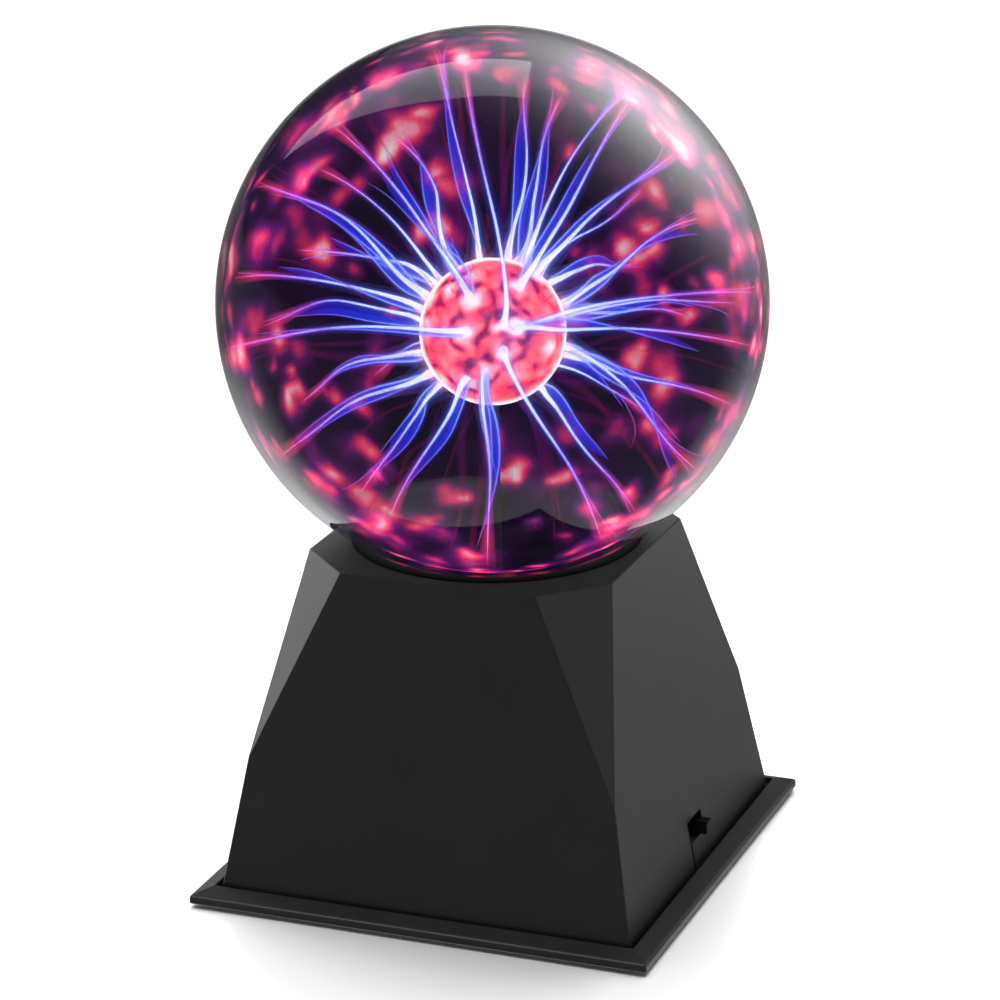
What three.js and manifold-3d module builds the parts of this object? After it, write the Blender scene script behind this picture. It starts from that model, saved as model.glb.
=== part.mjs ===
// Plasma ball: a gas-filled glass globe on a faceted black base with a bevelled plinth.
// Millimetres, +Z up. The origin is on the table under the middle of the plinth.
// +X is the side with the slide switch, -Y the front and +Y the back with the power inlet.
import * as THREE from "three";
import { mergeVertices } from "three/addons/utils/BufferGeometryUtils.js";
import Module from "manifold-3d";

const wasm = await Module();
wasm.setup();

// ---- Driving dimensions ------------------------------------------------------------------

const FIT = 0.3; // gap left between pieces that touch
const FOOT_DROP = 0.8; // how far the feet stand below the plinth

const GLOBE_R = 61;
const GLOBE_Z = 130.4;
const GLOBE_WALL = 1.6;
const NECK_R = 15;
const NECK_BOTTOM = 57.5;
const NECK_LIP = 1.4;

const ELECTRODE_R = 16.3;
const ELECTRODE_Z = 124;
const STEM_R = 5;
const STEM_WALL = 1;

const BASE_TOP = 76.8;
const BASE_TOP_HALF = 35.8; // middle of the top to the middle of a face's top edge
const FACE_LEAN = 0.1734; // how far a face leans in for each millimetre up
const CORNER_CUT = 13; // what a corner facet takes off each top edge
const FACET_FOOT = 32.8; // height where a corner facet runs out to a point
const WALL = 2.2;
const TOP_WALL = 2.4;
const SHELL_BOTTOM = 2.9;

const PLINTH_HALF = 54.1;
const PLINTH_FLOOR = 2.6; // top of the plinth's plate, which the base stands on
const RIM_INNER_HALF = 49.7;
const RIM_TOP = 4.2;

const BOARD = { x: -8, y: 0, halfX: 33, halfY: 25, z: 8, thick: 1.6, inset: 4 };
const SWITCH = { z: 11, slotHalf: 4.6, slotTop: 14.3, tabTop: 9.1, knobY: 2.75, proud: 2.2 };
const JACK = { z: 14, holeR: 4.2, boreR: 3.1, depth: 10 };

const GLOBE_SIDES = 36;
const ROUND_SIDES = 20;
const SMALL_SIDES = 10;

// ---- Derived sizes -----------------------------------------------------------------------

const faceHalf = (z) => BASE_TOP_HALF + FACE_LEAN * (BASE_TOP - z);
const FACET_TOP = (2 * BASE_TOP_HALF - CORNER_CUT) / Math.SQRT2;
const FACET_LOW = faceHalf(FACET_FOOT) * Math.SQRT2;
const FACET_LEAN = (FACET_LOW - FACET_TOP) / (BASE_TOP - FACET_FOOT);
const facetHalf = (z) => FACET_TOP + FACET_LEAN * (BASE_TOP - z);
const BOARD_TOP = BOARD.z + BOARD.thick;
const CORNERS = [
  ["front_left", -1, -1],
  ["front_right", 1, -1],
  ["back_right", 1, 1],
  ["back_left", -1, 1],
];

// ---- Materials ---------------------------------------------------------------------------

const material = (color, roughness, metalness = 0) =>
  new THREE.MeshStandardMaterial({ color, roughness, metalness });
const glass = (color) =>
  new THREE.MeshStandardMaterial({ color, roughness: 0.03, transparent: true, opacity: 0.35 });

const BLACK_PLASTIC = material(0x1c1c1c, 0.5);
const DARK_PLASTIC = material(0x0e0e0e, 0.45);
const RUBBER = material(0x111111, 0.85);
const CLEAR_GLASS = glass(0xd8dce2);
const HOT_GLASS = glass(0xff6a8c);
const BARE_METAL = material(0xb8bcc0, 0.35, 1);
const ZINC = material(0x9a9da0, 0.4, 1);
const FERRITE = material(0x2b2b2e, 0.6);
const COPPER = material(0xb5652b, 0.4, 0.6);
const BOARD_GREEN = material(0x1f5b35, 0.5);
const CREAM = material(0xd9cfae, 0.6);

// ---- Solids ------------------------------------------------------------------------------

// A closed geometry as a solid that can be cut and joined.
function solid(geometry) {
  const bare = geometry.clone();
  bare.deleteAttribute("normal");
  bare.deleteAttribute("uv");
  const merged = mergeVertices(bare, 1e-4);
  const vertProperties = new Float32Array(merged.attributes.position.array);
  const triVerts = new Uint32Array(merged.index.array);
  return new wasm.Manifold(new wasm.Mesh({ numProp: 3, vertProperties, triVerts }));
}

// A solid as a geometry that a mesh can hold.
function geometryOf(made) {
  const mesh = made.getMesh();
  const geometry = new THREE.BufferGeometry();
  geometry.setAttribute("position", new THREE.BufferAttribute(mesh.vertProperties, 3));
  geometry.setIndex(new THREE.BufferAttribute(mesh.triVerts, 1));
  return geometry;
}

const cut = (from, ...tools) => tools.reduce((rest, tool) => rest.subtract(tool), from);
const join = (first, ...others) => others.reduce((whole, next) => whole.add(next), first);

function box(x0, x1, y0, y1, z0, z1) {
  const geometry = new THREE.BoxGeometry(x1 - x0, y1 - y0, z1 - z0);
  geometry.translate((x0 + x1) / 2, (y0 + y1) / 2, (z0 + z1) / 2);
  return solid(geometry);
}

// A round bar or cone along Z.
function bar(lowR, highR, z0, z1, x = 0, y = 0, sides = SMALL_SIDES) {
  const geometry = new THREE.CylinderGeometry(highR, lowR, z1 - z0, sides);
  geometry.rotateX(Math.PI / 2);
  geometry.translate(x, y, (z0 + z1) / 2);
  return solid(geometry);
}

// A square block along Z with leaning faces, turned about Z.
function frustum(lowHalf, highHalf, z0, z1, turn = 0) {
  const toCorner = Math.SQRT2;
  const geometry = new THREE.CylinderGeometry(highHalf * toCorner, lowHalf * toCorner, z1 - z0, 4);
  geometry.rotateX(Math.PI / 2);
  geometry.rotateZ(Math.PI / 4 + turn);
  geometry.translate(0, 0, (z0 + z1) / 2);
  return solid(geometry);
}

// A profile of [radius, height] points turned about Z. It runs up the outside.
function turned(points, sides = ROUND_SIDES) {
  const profile = points.map(([r, z]) => new THREE.Vector2(r, z));
  const geometry = new THREE.LatheGeometry(profile, sides);
  geometry.rotateX(Math.PI / 2);
  return solid(geometry);
}

// Points of a ball's outline from one radius to another, past its equator.
function arc(ballR, centreZ, lowR, steps) {
  const start = Math.PI - Math.asin(lowR / ballR);
  return Array.from({ length: steps + 1 }, (_, i) => {
    const angle = start * (1 - i / steps);
    return [i === steps ? 0 : ballR * Math.sin(angle), centreZ + ballR * Math.cos(angle)];
  });
}

// A round wire through the given points.
function wire(radius, points, steps) {
  const section = new THREE.Shape();
  section.absarc(0, 0, radius, 0, 2 * Math.PI);
  const route = new THREE.CatmullRomCurve3(points.map((p) => new THREE.Vector3(...p)));
  return solid(new THREE.ExtrudeGeometry(section, { steps, extrudePath: route, curveSegments: 4 }));
}

const assembly = new THREE.Group();

function add(name, made, look, at = [0, 0, 0], group = assembly) {
  const mesh = new THREE.Mesh(geometryOf(made), look);
  mesh.name = name;
  mesh.position.set(...at);
  group.add(mesh);
  return mesh;
}

// ---- Glass globe, inner stem and electrode -----------------------------------------------

function glassGlobe() {
  const innerR = GLOBE_R - GLOBE_WALL;
  const neckInner = NECK_R - GLOBE_WALL;
  const inside = arc(innerR, GLOBE_Z, neckInner, 14).reverse();
  const outside = arc(GLOBE_R, GLOBE_Z, NECK_R, 16);
  const lipR = NECK_R + NECK_LIP;
  const lip = [
    [neckInner, NECK_BOTTOM],
    [lipR, NECK_BOTTOM],
    [lipR, NECK_BOTTOM + 1.4],
    [NECK_R, NECK_BOTTOM + 2],
  ];
  return turned([...inside, ...lip, ...outside], GLOBE_SIDES);
}

// The re-entrant tube: a flare that closes the neck, then a straight stem up to the bulb.
function stemTube() {
  const flareR = NECK_R - GLOBE_WALL - FIT;
  const innerR = STEM_R - STEM_WALL;
  const low = NECK_BOTTOM + 1;
  const top = ELECTRODE_Z - Math.sqrt(ELECTRODE_R ** 2 - STEM_R ** 2) - 2 * FIT;
  return turned([
    [innerR, top],
    [innerR, low + 11],
    [innerR + 1.6, low + 6],
    [flareR - STEM_WALL, low],
    [flareR, low],
    [flareR, low + 1.4],
    [STEM_R + 1.7, low + 7.5],
    [STEM_R, low + 12],
    [STEM_R, top],
    [innerR, top],
  ]);
}

function electrodeBulb() {
  const innerR = STEM_R - STEM_WALL;
  const inside = arc(ELECTRODE_R - 1, ELECTRODE_Z, innerR, 9).reverse();
  const outside = arc(ELECTRODE_R, ELECTRODE_Z, STEM_R, 10);
  const mouth = outside[0][1];
  return turned([...inside, [innerR, mouth], ...outside]);
}

const LINING_R = ELECTRODE_R - 1 - 2 * FIT;
const LINING_WALL = 0.5;

function electrodeLining() {
  const mouthR = STEM_R + 1;
  const inside = arc(LINING_R - LINING_WALL, ELECTRODE_Z, mouthR, 7).reverse();
  return turned([...inside, ...arc(LINING_R, ELECTRODE_Z, mouthR, 8)], 16);
}

const CONTACT_LOW = ELECTRODE_Z - 10;
const LINING_TOP = ELECTRODE_Z + LINING_R - LINING_WALL;

function contactRod() {
  const rod = bar(0.5, 0.5, CONTACT_LOW + FIT, LINING_TOP - FIT, 0, 0, 8);
  return join(rod, bar(1.6, 1.6, LINING_TOP - 2, LINING_TOP - 1.2, 0, 0, 10));
}

// The tube that the globe was pumped and filled through, closed at its tip.
function exhaustTip() {
  const x = 7.5;
  const top = NECK_BOTTOM + 3;
  return join(bar(1.5, 1.5, top - 11, top, x, 0, 10), bar(0.2, 1.5, top - 14, top - 11, x, 0, 10));
}

// ---- Faceted base ------------------------------------------------------------------------

// The base's outer form, or the same form shrunk by a wall.
function faceted(inset, z0, z1) {
  const faceInset = inset * Math.hypot(1, FACE_LEAN);
  const facetInset = inset * Math.hypot(1, FACET_LEAN);
  const faces = frustum(faceHalf(z0) - faceInset, faceHalf(z1) - faceInset, z0, z1);
  const lowCut = facetHalf(z0) - facetInset;
  const highCut = facetHalf(z1) - facetInset;
  return faces.intersect(frustum(lowCut, highCut, z0, z1, Math.PI / 4));
}

const ball = (radius) => {
  const geometry = new THREE.SphereGeometry(radius, 36, 36);
  geometry.rotateX(Math.PI / 2);
  geometry.translate(0, 0, GLOBE_Z);
  return solid(geometry);
};

const SCREW_POST = 37; // x and y of the posts that take the plinth's screws
const CLAMP_POST = 20.9; // x and y of the posts that take the neck clamp's screws
const CLAMP_TOP = 66;
const CLAMP_THICK = 4;

// The plug side of the base: a point on the back face, with its outward direction as +Y.
const backTilt = Math.atan(FACE_LEAN);
const backFace = new THREE.Matrix4()
  .makeTranslation(0, faceHalf(JACK.z), JACK.z)
  .multiply(new THREE.Matrix4().makeRotationX(backTilt));

function alongY(radius, y0, y1, sides = ROUND_SIDES) {
  const geometry = new THREE.CylinderGeometry(radius, radius, y1 - y0, sides);
  geometry.translate(0, (y0 + y1) / 2, 0);
  return geometry;
}

function baseShell() {
  const outer = faceted(0, SHELL_BOTTOM, BASE_TOP);
  const hollow = faceted(WALL, SHELL_BOTTOM - 1, BASE_TOP - TOP_WALL);
  const screwPosts = CORNERS.map(([, sx, sy]) =>
    bar(3.5, 3.5, SHELL_BOTTOM, 52, sx * SCREW_POST, sy * SCREW_POST),
  );
  const clampPosts = CORNERS.map(([, sx, sy]) =>
    bar(3, 3, CLAMP_TOP + FIT, BASE_TOP - 1, sx * CLAMP_POST, sy * CLAMP_POST),
  );
  const pilots = CORNERS.flatMap(([, sx, sy]) => [
    bar(1.6, 1.6, SHELL_BOTTOM - 1, 18, sx * SCREW_POST, sy * SCREW_POST),
    bar(1.6, 1.6, CLAMP_TOP - 1, 74, sx * CLAMP_POST, sy * CLAMP_POST),
  ]);
  const walls = join(cut(outer, hollow), ...screwPosts, ...clampPosts).intersect(outer);
  const half = SWITCH.slotHalf;
  const notch = box(40, 60, -half, half, SHELL_BOTTOM - 1, SWITCH.slotTop);
  const inlet = solid(alongY(JACK.holeR, -8, 8).applyMatrix4(backFace));
  return cut(walls, ball(GLOBE_R + 0.35), notch, inlet, ...pilots);
}

// A rubber ring between the base's top and the globe.
function seatRing() {
  const z0 = BASE_TOP + 0.05;
  const globeAt = (z) => Math.sqrt((GLOBE_R + FIT) ** 2 - (GLOBE_Z - z) ** 2);
  const tip = z0 + 1;
  return turned(
    [
      [globeAt(z0) + 0.05, z0],
      [globeAt(z0) + 3, z0],
      [globeAt(z0) + 2.7, z0 + 0.75],
      [globeAt(tip) + 0.25, tip],
      [globeAt(z0) + 0.05, z0],
    ],
    GLOBE_SIDES,
  );
}

function neckWasher() {
  const inner = NECK_R + 0.4;
  const z0 = NECK_BOTTOM + 2.2;
  const z1 = CLAMP_TOP - CLAMP_THICK - FIT;
  return turned([[inner, z0], [inner + 3, z0], [inner + 3, z1], [inner, z1], [inner, z0]]);
}

// Half of the split ring that keeps the globe's neck lip from lifting out of the base.
function neckClamp(side) {
  const z0 = CLAMP_TOP - CLAMP_THICK;
  const outerR = 33;
  const ring = cut(
    bar(outerR, outerR, z0, CLAMP_TOP, 0, 0, 24),
    bar(NECK_R + 0.5, NECK_R + 0.5, z0 - 1, CLAMP_TOP + 1, 0, 0, 24),
    ...CORNERS.map(([, sx, sy]) => bar(1.7, 1.7, z0 - 1, 70, sx * CLAMP_POST, sy * CLAMP_POST)),
  );
  const keep = side < 0 ? box(-40, 40, -40, -FIT, 0, 80) : box(-40, 40, FIT, 40, 0, 80);
  return ring.intersect(keep);
}

// ---- Plinth, feet and screws -------------------------------------------------------------

const FOOT_AT = 45;
const FOOT_R = 5;
const SWITCH_POST_Y = 9.6;
const SWITCH_FRONT = 42.9; // x of the switch frame's front

function plinth() {
  const h = PLINTH_HALF;
  const slab = join(
    frustum(h, h, FOOT_DROP, 2.3),
    frustum(h, h - 0.25, 2.3, 2.7),
    frustum(h - 0.25, h - 0.8, 2.7, 2.95),
    frustum(h - 0.8, RIM_INNER_HALF, 2.95, RIM_TOP),
  );
  const inside = RIM_INNER_HALF;
  const recess = box(-inside, inside, -inside, inside, PLINTH_FLOOR, 9);
  const tabBox = box(35, 60, 0.5 - SWITCH.slotHalf, SWITCH.slotHalf - 0.2, 2, SWITCH.tabTop);
  const tab = cut(faceted(0, 2, 12), faceted(WALL, 1, 13)).intersect(tabBox);
  const postX = SWITCH_FRONT - 1;
  const switchPosts = [-1, 1].map((s) =>
    box(postX - 5, postX, s * SWITCH_POST_Y - 2.4, s * SWITCH_POST_Y + 2.4, 2, SWITCH.z + 3),
  );
  const switchHoles = [-1, 1].map((s) => {
    const geometry = alongY(1.3, -7, 2, SMALL_SIDES);
    geometry.rotateZ(-Math.PI / 2);
    geometry.translate(postX, s * SWITCH_POST_Y, SWITCH.z);
    return solid(geometry);
  });
  const boardPosts = BOARD_HOLES.map(([, x, y]) => bar(3.2, 2.8, 2, BOARD.z - 0.05, x, y));
  const boardPilots = BOARD_HOLES.map(([, x, y]) => bar(1.4, 1.4, 3, BOARD.z + 1, x, y));
  const feet = CORNERS.map(([, sx, sy]) =>
    bar(FOOT_R + FIT, FOOT_R + FIT, 0, 1.4, sx * FOOT_AT, sy * FOOT_AT, ROUND_SIDES),
  );
  const screwHoles = CORNERS.flatMap(([, sx, sy]) => [
    bar(1.7, 1.7, 0, 3, sx * SCREW_POST, sy * SCREW_POST),
    bar(3.4, 1.7, FOOT_DROP - 0.01, 2.4, sx * SCREW_POST, sy * SCREW_POST),
  ]);
  const raised = join(cut(slab, recess), tab, ...switchPosts, ...boardPosts);
  return cut(raised, ...feet, ...screwHoles, ...boardPilots, ...switchHoles);
}

const foot = () => bar(FOOT_R - 0.5, FOOT_R, 0, 1.2, 0, 0, ROUND_SIDES);

// A cross-slotted screw that stands on its head. A countersunk head tapers to the shank.
function screw(length, headR, headH, shankR, countersunk = false) {
  const head = bar(headR, countersunk ? shankR : headR, 0, headH);
  const shank = bar(shankR, shankR, headH - 0.2, length - 1.5, 0, 0, 8);
  const point = bar(shankR, 0.3, length - 1.5, length, 0, 0, 8);
  const slot = headR * 0.6;
  const deep = headH * 0.45;
  const cross = join(
    box(-slot, slot, -0.35, 0.35, -1, deep),
    box(-0.35, 0.35, -slot, slot, -1, deep),
  );
  return cut(join(head, shank, point), cross);
}

// ---- Slide switch ------------------------------------------------------------------------

function alongX(radius, x0, x1, y, z, sides = SMALL_SIDES) {
  const geometry = alongY(radius, x0, x1, sides);
  geometry.rotateZ(-Math.PI / 2);
  geometry.translate(0, y, z);
  return solid(geometry);
}

const CAN_BACK = SWITCH_FRONT - 5.2;

// The steel can: a front plate with two screw ears and a folded box behind it.
function switchCan() {
  const z = SWITCH.z;
  const plate = box(SWITCH_FRONT - 0.5, SWITCH_FRONT, -11.8, 11.8, z - 2.8, z + 2.8);
  const sleeve = box(CAN_BACK, SWITCH_FRONT - 0.3, -6.4, 6.4, z - 2.8, z + 2.8);
  const hollow = box(CAN_BACK - 1, SWITCH_FRONT - 0.5, -6, 6, z - 2.4, z + 2.4);
  const slot = box(SWITCH_FRONT - 2, SWITCH_FRONT + 1, -4.7, 4.7, z - 1.9, z + 1.9);
  const ears = [-1, 1].map((s) => alongX(1.5, 40, 45, s * SWITCH_POST_Y, z));
  return cut(join(plate, sleeve), hollow, slot, ...ears);
}

// The laminate base with its terminals, pushed into the back of the can.
function switchBase() {
  const z = SWITCH.z;
  const wafer = box(CAN_BACK - 0.6, CAN_BACK + 1, -5.7, 5.7, z - 2.1, z + 2.1);
  const pins = [-3.6, -1.2, 1.2, 3.6].map((y) =>
    box(CAN_BACK - 4.2, CAN_BACK, y - 0.5, y + 0.5, z - 0.2, z + 0.2),
  );
  return join(wafer, ...pins);
}

// The moving slider: a carrier inside the can and the knob that comes out through the base.
function switchKnob() {
  const y = SWITCH.knobY;
  const z = SWITCH.z;
  const carrierFront = SWITCH_FRONT - 0.8;
  const carrier = box(CAN_BACK + 1.3, carrierFront, y - 2.9, y + 2.9, z - 2, z + 2);
  const tip = faceHalf(z) + SWITCH.proud;
  const knob = box(carrierFront - 0.2, tip, y - 1.6, y + 1.6, z - 1.5, z + 1.5);
  return join(carrier, knob);
}

// ---- Power inlet, built along +Y from the face it is fitted in ---------------------------

function jackBody() {
  const flange = solid(alongY(5.6, FIT, 1.8));
  const barrel = solid(alongY(JACK.holeR - FIT, -JACK.depth - 2, 1));
  const bore = solid(alongY(JACK.boreR, -JACK.depth, 5));
  const pinHole = solid(alongY(1.05 + FIT, -JACK.depth - 5, 0, SMALL_SIDES));
  return cut(join(flange, barrel), bore, pinHole);
}

const jackPin = () => solid(alongY(1.05, -JACK.depth - 3.5, -1.2, SMALL_SIDES));

function jackNut() {
  const back = -WALL - FIT;
  return cut(solid(alongY(6.2, back - 2.4, back, 6)), solid(alongY(JACK.holeR, back - 4, 1)));
}

// ---- Circuit board and what stands on it -------------------------------------------------

const BOARD_HOLES = CORNERS.map(([name, sx, sy]) => [
  name,
  BOARD.x + sx * (BOARD.halfX - BOARD.inset),
  BOARD.y + sy * (BOARD.halfY - BOARD.inset),
]);

function circuitBoard() {
  const { x, y, halfX, halfY } = BOARD;
  const plate = box(x - halfX, x + halfX, y - halfY, y + halfY, BOARD.z, BOARD_TOP);
  return cut(plate, ...BOARD_HOLES.map(([, hx, hy]) => bar(1.6, 1.6, 0, 20, hx, hy)));
}

const FLYBACK = { x: -24, y: 4, halfX: 13, halfY: 4.5, height: 24, leg: 3.6, yoke: 4.5 };
const onBoard = BOARD_TOP + 0.1;

function flybackCore() {
  const { x, y, halfX, halfY, height, leg, yoke } = FLYBACK;
  const windowZ = [onBoard + 2 + yoke, onBoard + 2 + height - yoke];
  const block = box(x - halfX, x + halfX, y - halfY, y + halfY, onBoard + 2, onBoard + 2 + height);
  const windows = [-1, 1].map((s) => {
    const near = x + s * leg;
    const far = x + s * (halfX - leg);
    return box(Math.min(near, far), Math.max(near, far), y - 9, y + 9, ...windowZ);
  });
  return cut(block, ...windows);
}

// A winding around the core's middle leg, between two heights.
function winding(z0, z1, radius) {
  const { x, y, halfY, leg } = FLYBACK;
  const hole = box(x - leg - 1.1, x + leg + 1.1, y - halfY - 1.1, y + halfY + 1.1, z0 - 1, z1 + 1);
  return cut(bar(radius, radius, z0, z1, x, y, 20), hole);
}

const COIL_LOW = onBoard + 2 + FLYBACK.yoke + FIT;
const COIL_HIGH = onBoard + 2 + FLYBACK.height - FLYBACK.yoke - FIT;
const PRIMARY_TOP = COIL_LOW + 4.4;

// The insulating former: flanges between the winding sections.
function flybackFormer() {
  const { x, y, halfY, leg } = FLYBACK;
  const tubeX = leg + 0.9;
  const tubeY = halfY + 0.9;
  const tube = box(x - tubeX, x + tubeX, y - tubeY, y + tubeY, COIL_LOW, COIL_HIGH);
  const flanges = [COIL_LOW, PRIMARY_TOP, COIL_HIGH - 0.8].map((z) =>
    bar(9.2, 9.2, z, z + 0.8, x, y, 20),
  );
  const coreX = leg + FIT;
  const coreY = halfY + FIT;
  const core = box(x - coreX, x + coreX, y - coreY, y + coreY, 0, 90);
  return cut(join(tube, ...flanges), core);
}

function transistor(x, y) {
  const z = onBoard + 4;
  const body = box(x - 5, x + 5, y - 4.4, y - 0.2, z, z + 9);
  const tab = box(x - 5, x + 5, y - 1.6, y - 0.2, z, z + 15);
  const legs = [-2.5, 0, 2.5].map((dx) =>
    box(x + dx - 0.4, x + dx + 0.4, y - 2.6, y - 2, onBoard, z + 1),
  );
  return cut(join(body, tab, ...legs), alongYAt(1.8, y - 6, y + 4, x, z + 12));
}

function alongYAt(radius, y0, y1, x, z, sides = SMALL_SIDES) {
  return solid(alongY(radius, y0, y1, sides).translate(x, 0, z));
}

function heatSink(x, y) {
  const top = onBoard + 22;
  const back = box(x - 11, x + 11, y, y + 2, onBoard, top);
  const fins = [-10, -6, -2, 2, 6, 10].map((dx) =>
    box(x + dx - 0.6, x + dx + 0.6, y + 1, y + 9, onBoard, top),
  );
  return join(back, ...fins);
}

function canCapacitor(x, y, radius, height) {
  const z = onBoard;
  return turned([
    [0, z],
    [radius, z],
    [radius, z + 1.2],
    [radius - 0.4, z + 1.6],
    [radius, z + 2],
    [radius, z + height - 0.5],
    [radius - 0.5, z + height],
    [0, z + height],
  ]).translate([x, y, 0]);
}

function timerChip(x, y) {
  const body = box(x - 4.8, x + 4.8, y - 3.2, y + 3.2, onBoard + 0.5, onBoard + 3.9);
  const legs = [-3.8, -1.3, 1.3, 3.8].flatMap((dx) =>
    [-1, 1].map((s) => {
      const near = y + s * 3;
      const far = y + s * 4;
      return box(x + dx - 0.4, x + dx + 0.4, Math.min(near, far), Math.max(near, far),
        onBoard, onBoard + 2.4);
    }),
  );
  return join(body, ...legs);
}

function microphone(x, y) {
  const z = onBoard;
  const can = bar(4.7, 4.7, z, z + 5.6, x, y, ROUND_SIDES);
  return cut(can, bar(1, 1, z + 4.6, z + 7, x, y, SMALL_SIDES));
}

const filmCapacitor = (x, y) => box(x - 6.5, x + 6.5, y - 2.6, y + 2.6, onBoard, onBoard + 9);

// A header with a solid pin block that the leads plug into.
function leadHeader(x, y) {
  const body = box(x - 2.9, x + 2.9, y - 4.5, y + 4.5, onBoard, onBoard + 6);
  return cut(body, box(x - 2.2, x + 2.2, y - 3.8, y + 3.8, onBoard + 5, onBoard + 7));
}

// ---- Assembly ----------------------------------------------------------------------------

add("glass_globe", glassGlobe(), CLEAR_GLASS);
add("stem_tube", stemTube(), CLEAR_GLASS);
add("electrode_bulb", electrodeBulb(), HOT_GLASS);
add("electrode_lining", electrodeLining(), BARE_METAL);
add("contact_rod", contactRod(), BARE_METAL);
add("exhaust_tip", exhaustTip(), CLEAR_GLASS);

add("base_shell", baseShell(), BLACK_PLASTIC);
add("seat_ring", seatRing(), RUBBER);
add("neck_washer", neckWasher(), RUBBER);
add("neck_clamp_front", neckClamp(-1), DARK_PLASTIC);
add("neck_clamp_back", neckClamp(1), DARK_PLASTIC);
add("plinth", plinth(), BLACK_PLASTIC);

const clampScrew = screw(11, 2.9, 2, 1.25);
const plinthScrew = screw(14, 2.9, 1.6, 1.25, true);
const clampScrewZ = CLAMP_TOP - CLAMP_THICK - 2 - FIT;
for (const [name, sx, sy] of CORNERS) {
  const place = (offset, z) => [sx * offset, sy * offset, z];
  add(`foot_${name}`, foot(), RUBBER, place(FOOT_AT, 0));
  add(`clamp_screw_${name}`, clampScrew, ZINC, place(CLAMP_POST, clampScrewZ));
  add(`plinth_screw_${name}`, plinthScrew, ZINC, place(SCREW_POST, FOOT_DROP + 0.15));
}
const boardScrew = screw(7, 2.4, 1.5, 1.05);
for (const [name, x, y] of BOARD_HOLES) {
  const made = add(`board_screw_${name}`, boardScrew, ZINC, [x, y, BOARD_TOP + 1.6]);
  made.rotation.x = Math.PI;
}

add("circuit_board", circuitBoard(), BOARD_GREEN);
add("flyback_core", flybackCore(), FERRITE);
add("flyback_former", flybackFormer(), CREAM);
add("primary_winding", winding(COIL_LOW + 1.1, PRIMARY_TOP - FIT, 7.8), COPPER);
add("secondary_winding", winding(PRIMARY_TOP + 1.1, COIL_HIGH - 1.1, 8.6), COPPER);
add("heat_sink", heatSink(-7, -17.5), BARE_METAL);
add("power_transistor", transistor(-7, -17.5), DARK_PLASTIC);
add("supply_capacitor", canCapacitor(6, 14, 5, 16), DARK_PLASTIC);
add("timing_capacitor", canCapacitor(-5, 15, 3.2, 11), DARK_PLASTIC);
add("timer_chip", timerChip(-4, -2), DARK_PLASTIC);
add("film_capacitor", filmCapacitor(-26, -16), COPPER);
add("microphone", microphone(17, 3), BARE_METAL);
add("inlet_header", leadHeader(17, 13.5), CREAM);
add("switch_header", leadHeader(18.5, -9), CREAM);

add("switch_can", switchCan(), BARE_METAL);
add("switch_base", switchBase(), COPPER);
add("switch_knob", switchKnob(), DARK_PLASTIC);
for (const [side, s] of [["front", -1], ["back", 1]]) {
  const at = [SWITCH_FRONT + 1.3, s * SWITCH_POST_Y, SWITCH.z];
  add(`switch_screw_${side}`, screw(6, 2, 1.2, 1), ZINC, at).rotation.y = -Math.PI / 2;
}

const inlet = new THREE.Group();
inlet.rotation.x = backTilt;
inlet.position.set(0, faceHalf(JACK.z), JACK.z);
assembly.add(inlet);
add("inlet_body", jackBody(), DARK_PLASTIC, [0, 0, 0], inlet);
add("inlet_pin", jackPin(), BARE_METAL, [0, 0, 0], inlet);
add("inlet_nut", jackNut(), ZINC, [0, 0, 0], inlet);

// The high-voltage lead climbs from the transformer through the neck and up the stem.
const hvLead = wire(1.1, [
  [FLYBACK.x, FLYBACK.y + 10.6, COIL_HIGH - 4],
  [FLYBACK.x + 1, FLYBACK.y + 10.8, COIL_HIGH + 4],
  [-6, 4, 46],
  [-1, 0.7, 58],
  [0, 0, 68],
  [0, 0, 90],
  [0, 0, CONTACT_LOW],
], 24);
add("high_voltage_lead", hvLead, CREAM);

const headerTop = onBoard + 5.3;
const inletBack = faceHalf(JACK.z) - JACK.depth - 6;
for (const [name, x, look] of [["positive", 1.6, HOT_GLASS], ["negative", -1.6, DARK_PLASTIC]]) {
  const lead = wire(0.7, [
    [x * 1.6, inletBack - 0.6, JACK.z - 3],
    [x * 2 + 3, inletBack - 5, JACK.z + 1],
    [12 + x, 22, 23],
    [17, 13.5 + x, 21],
    [17, 13.5 + x, headerTop],
  ], 16);
  add(`inlet_lead_${name}`, lead, look);
}
for (const [name, y] of [["supply", -3.6], ["sound", 3.6]]) {
  const lead = wire(0.7, [
    [CAN_BACK - 4.7, y, SWITCH.z],
    [CAN_BACK - 8.5, y * 0.9 - 0.6, SWITCH.z + 4],
    [24, y * 0.6 - 6, 22],
    [18.5, y * 0.6 - 9, 20],
    [18.5, y * 0.6 - 9, headerTop],
  ], 16);
  add(`switch_lead_${name}`, lead, DARK_PLASTIC);
}

export default assembly;
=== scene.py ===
"""A plasma ball: fine pieces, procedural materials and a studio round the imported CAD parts.

Lengths are written in millimetres, +Z up, and MM turns them into Blender's metres.
Directions are written as (azimuth, elevation) in degrees: azimuth 0 is +X and 90 is +Y.
"""

import math
import random

import bmesh
import bpy
from mathutils import Matrix, Vector, kdtree, noise


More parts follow.
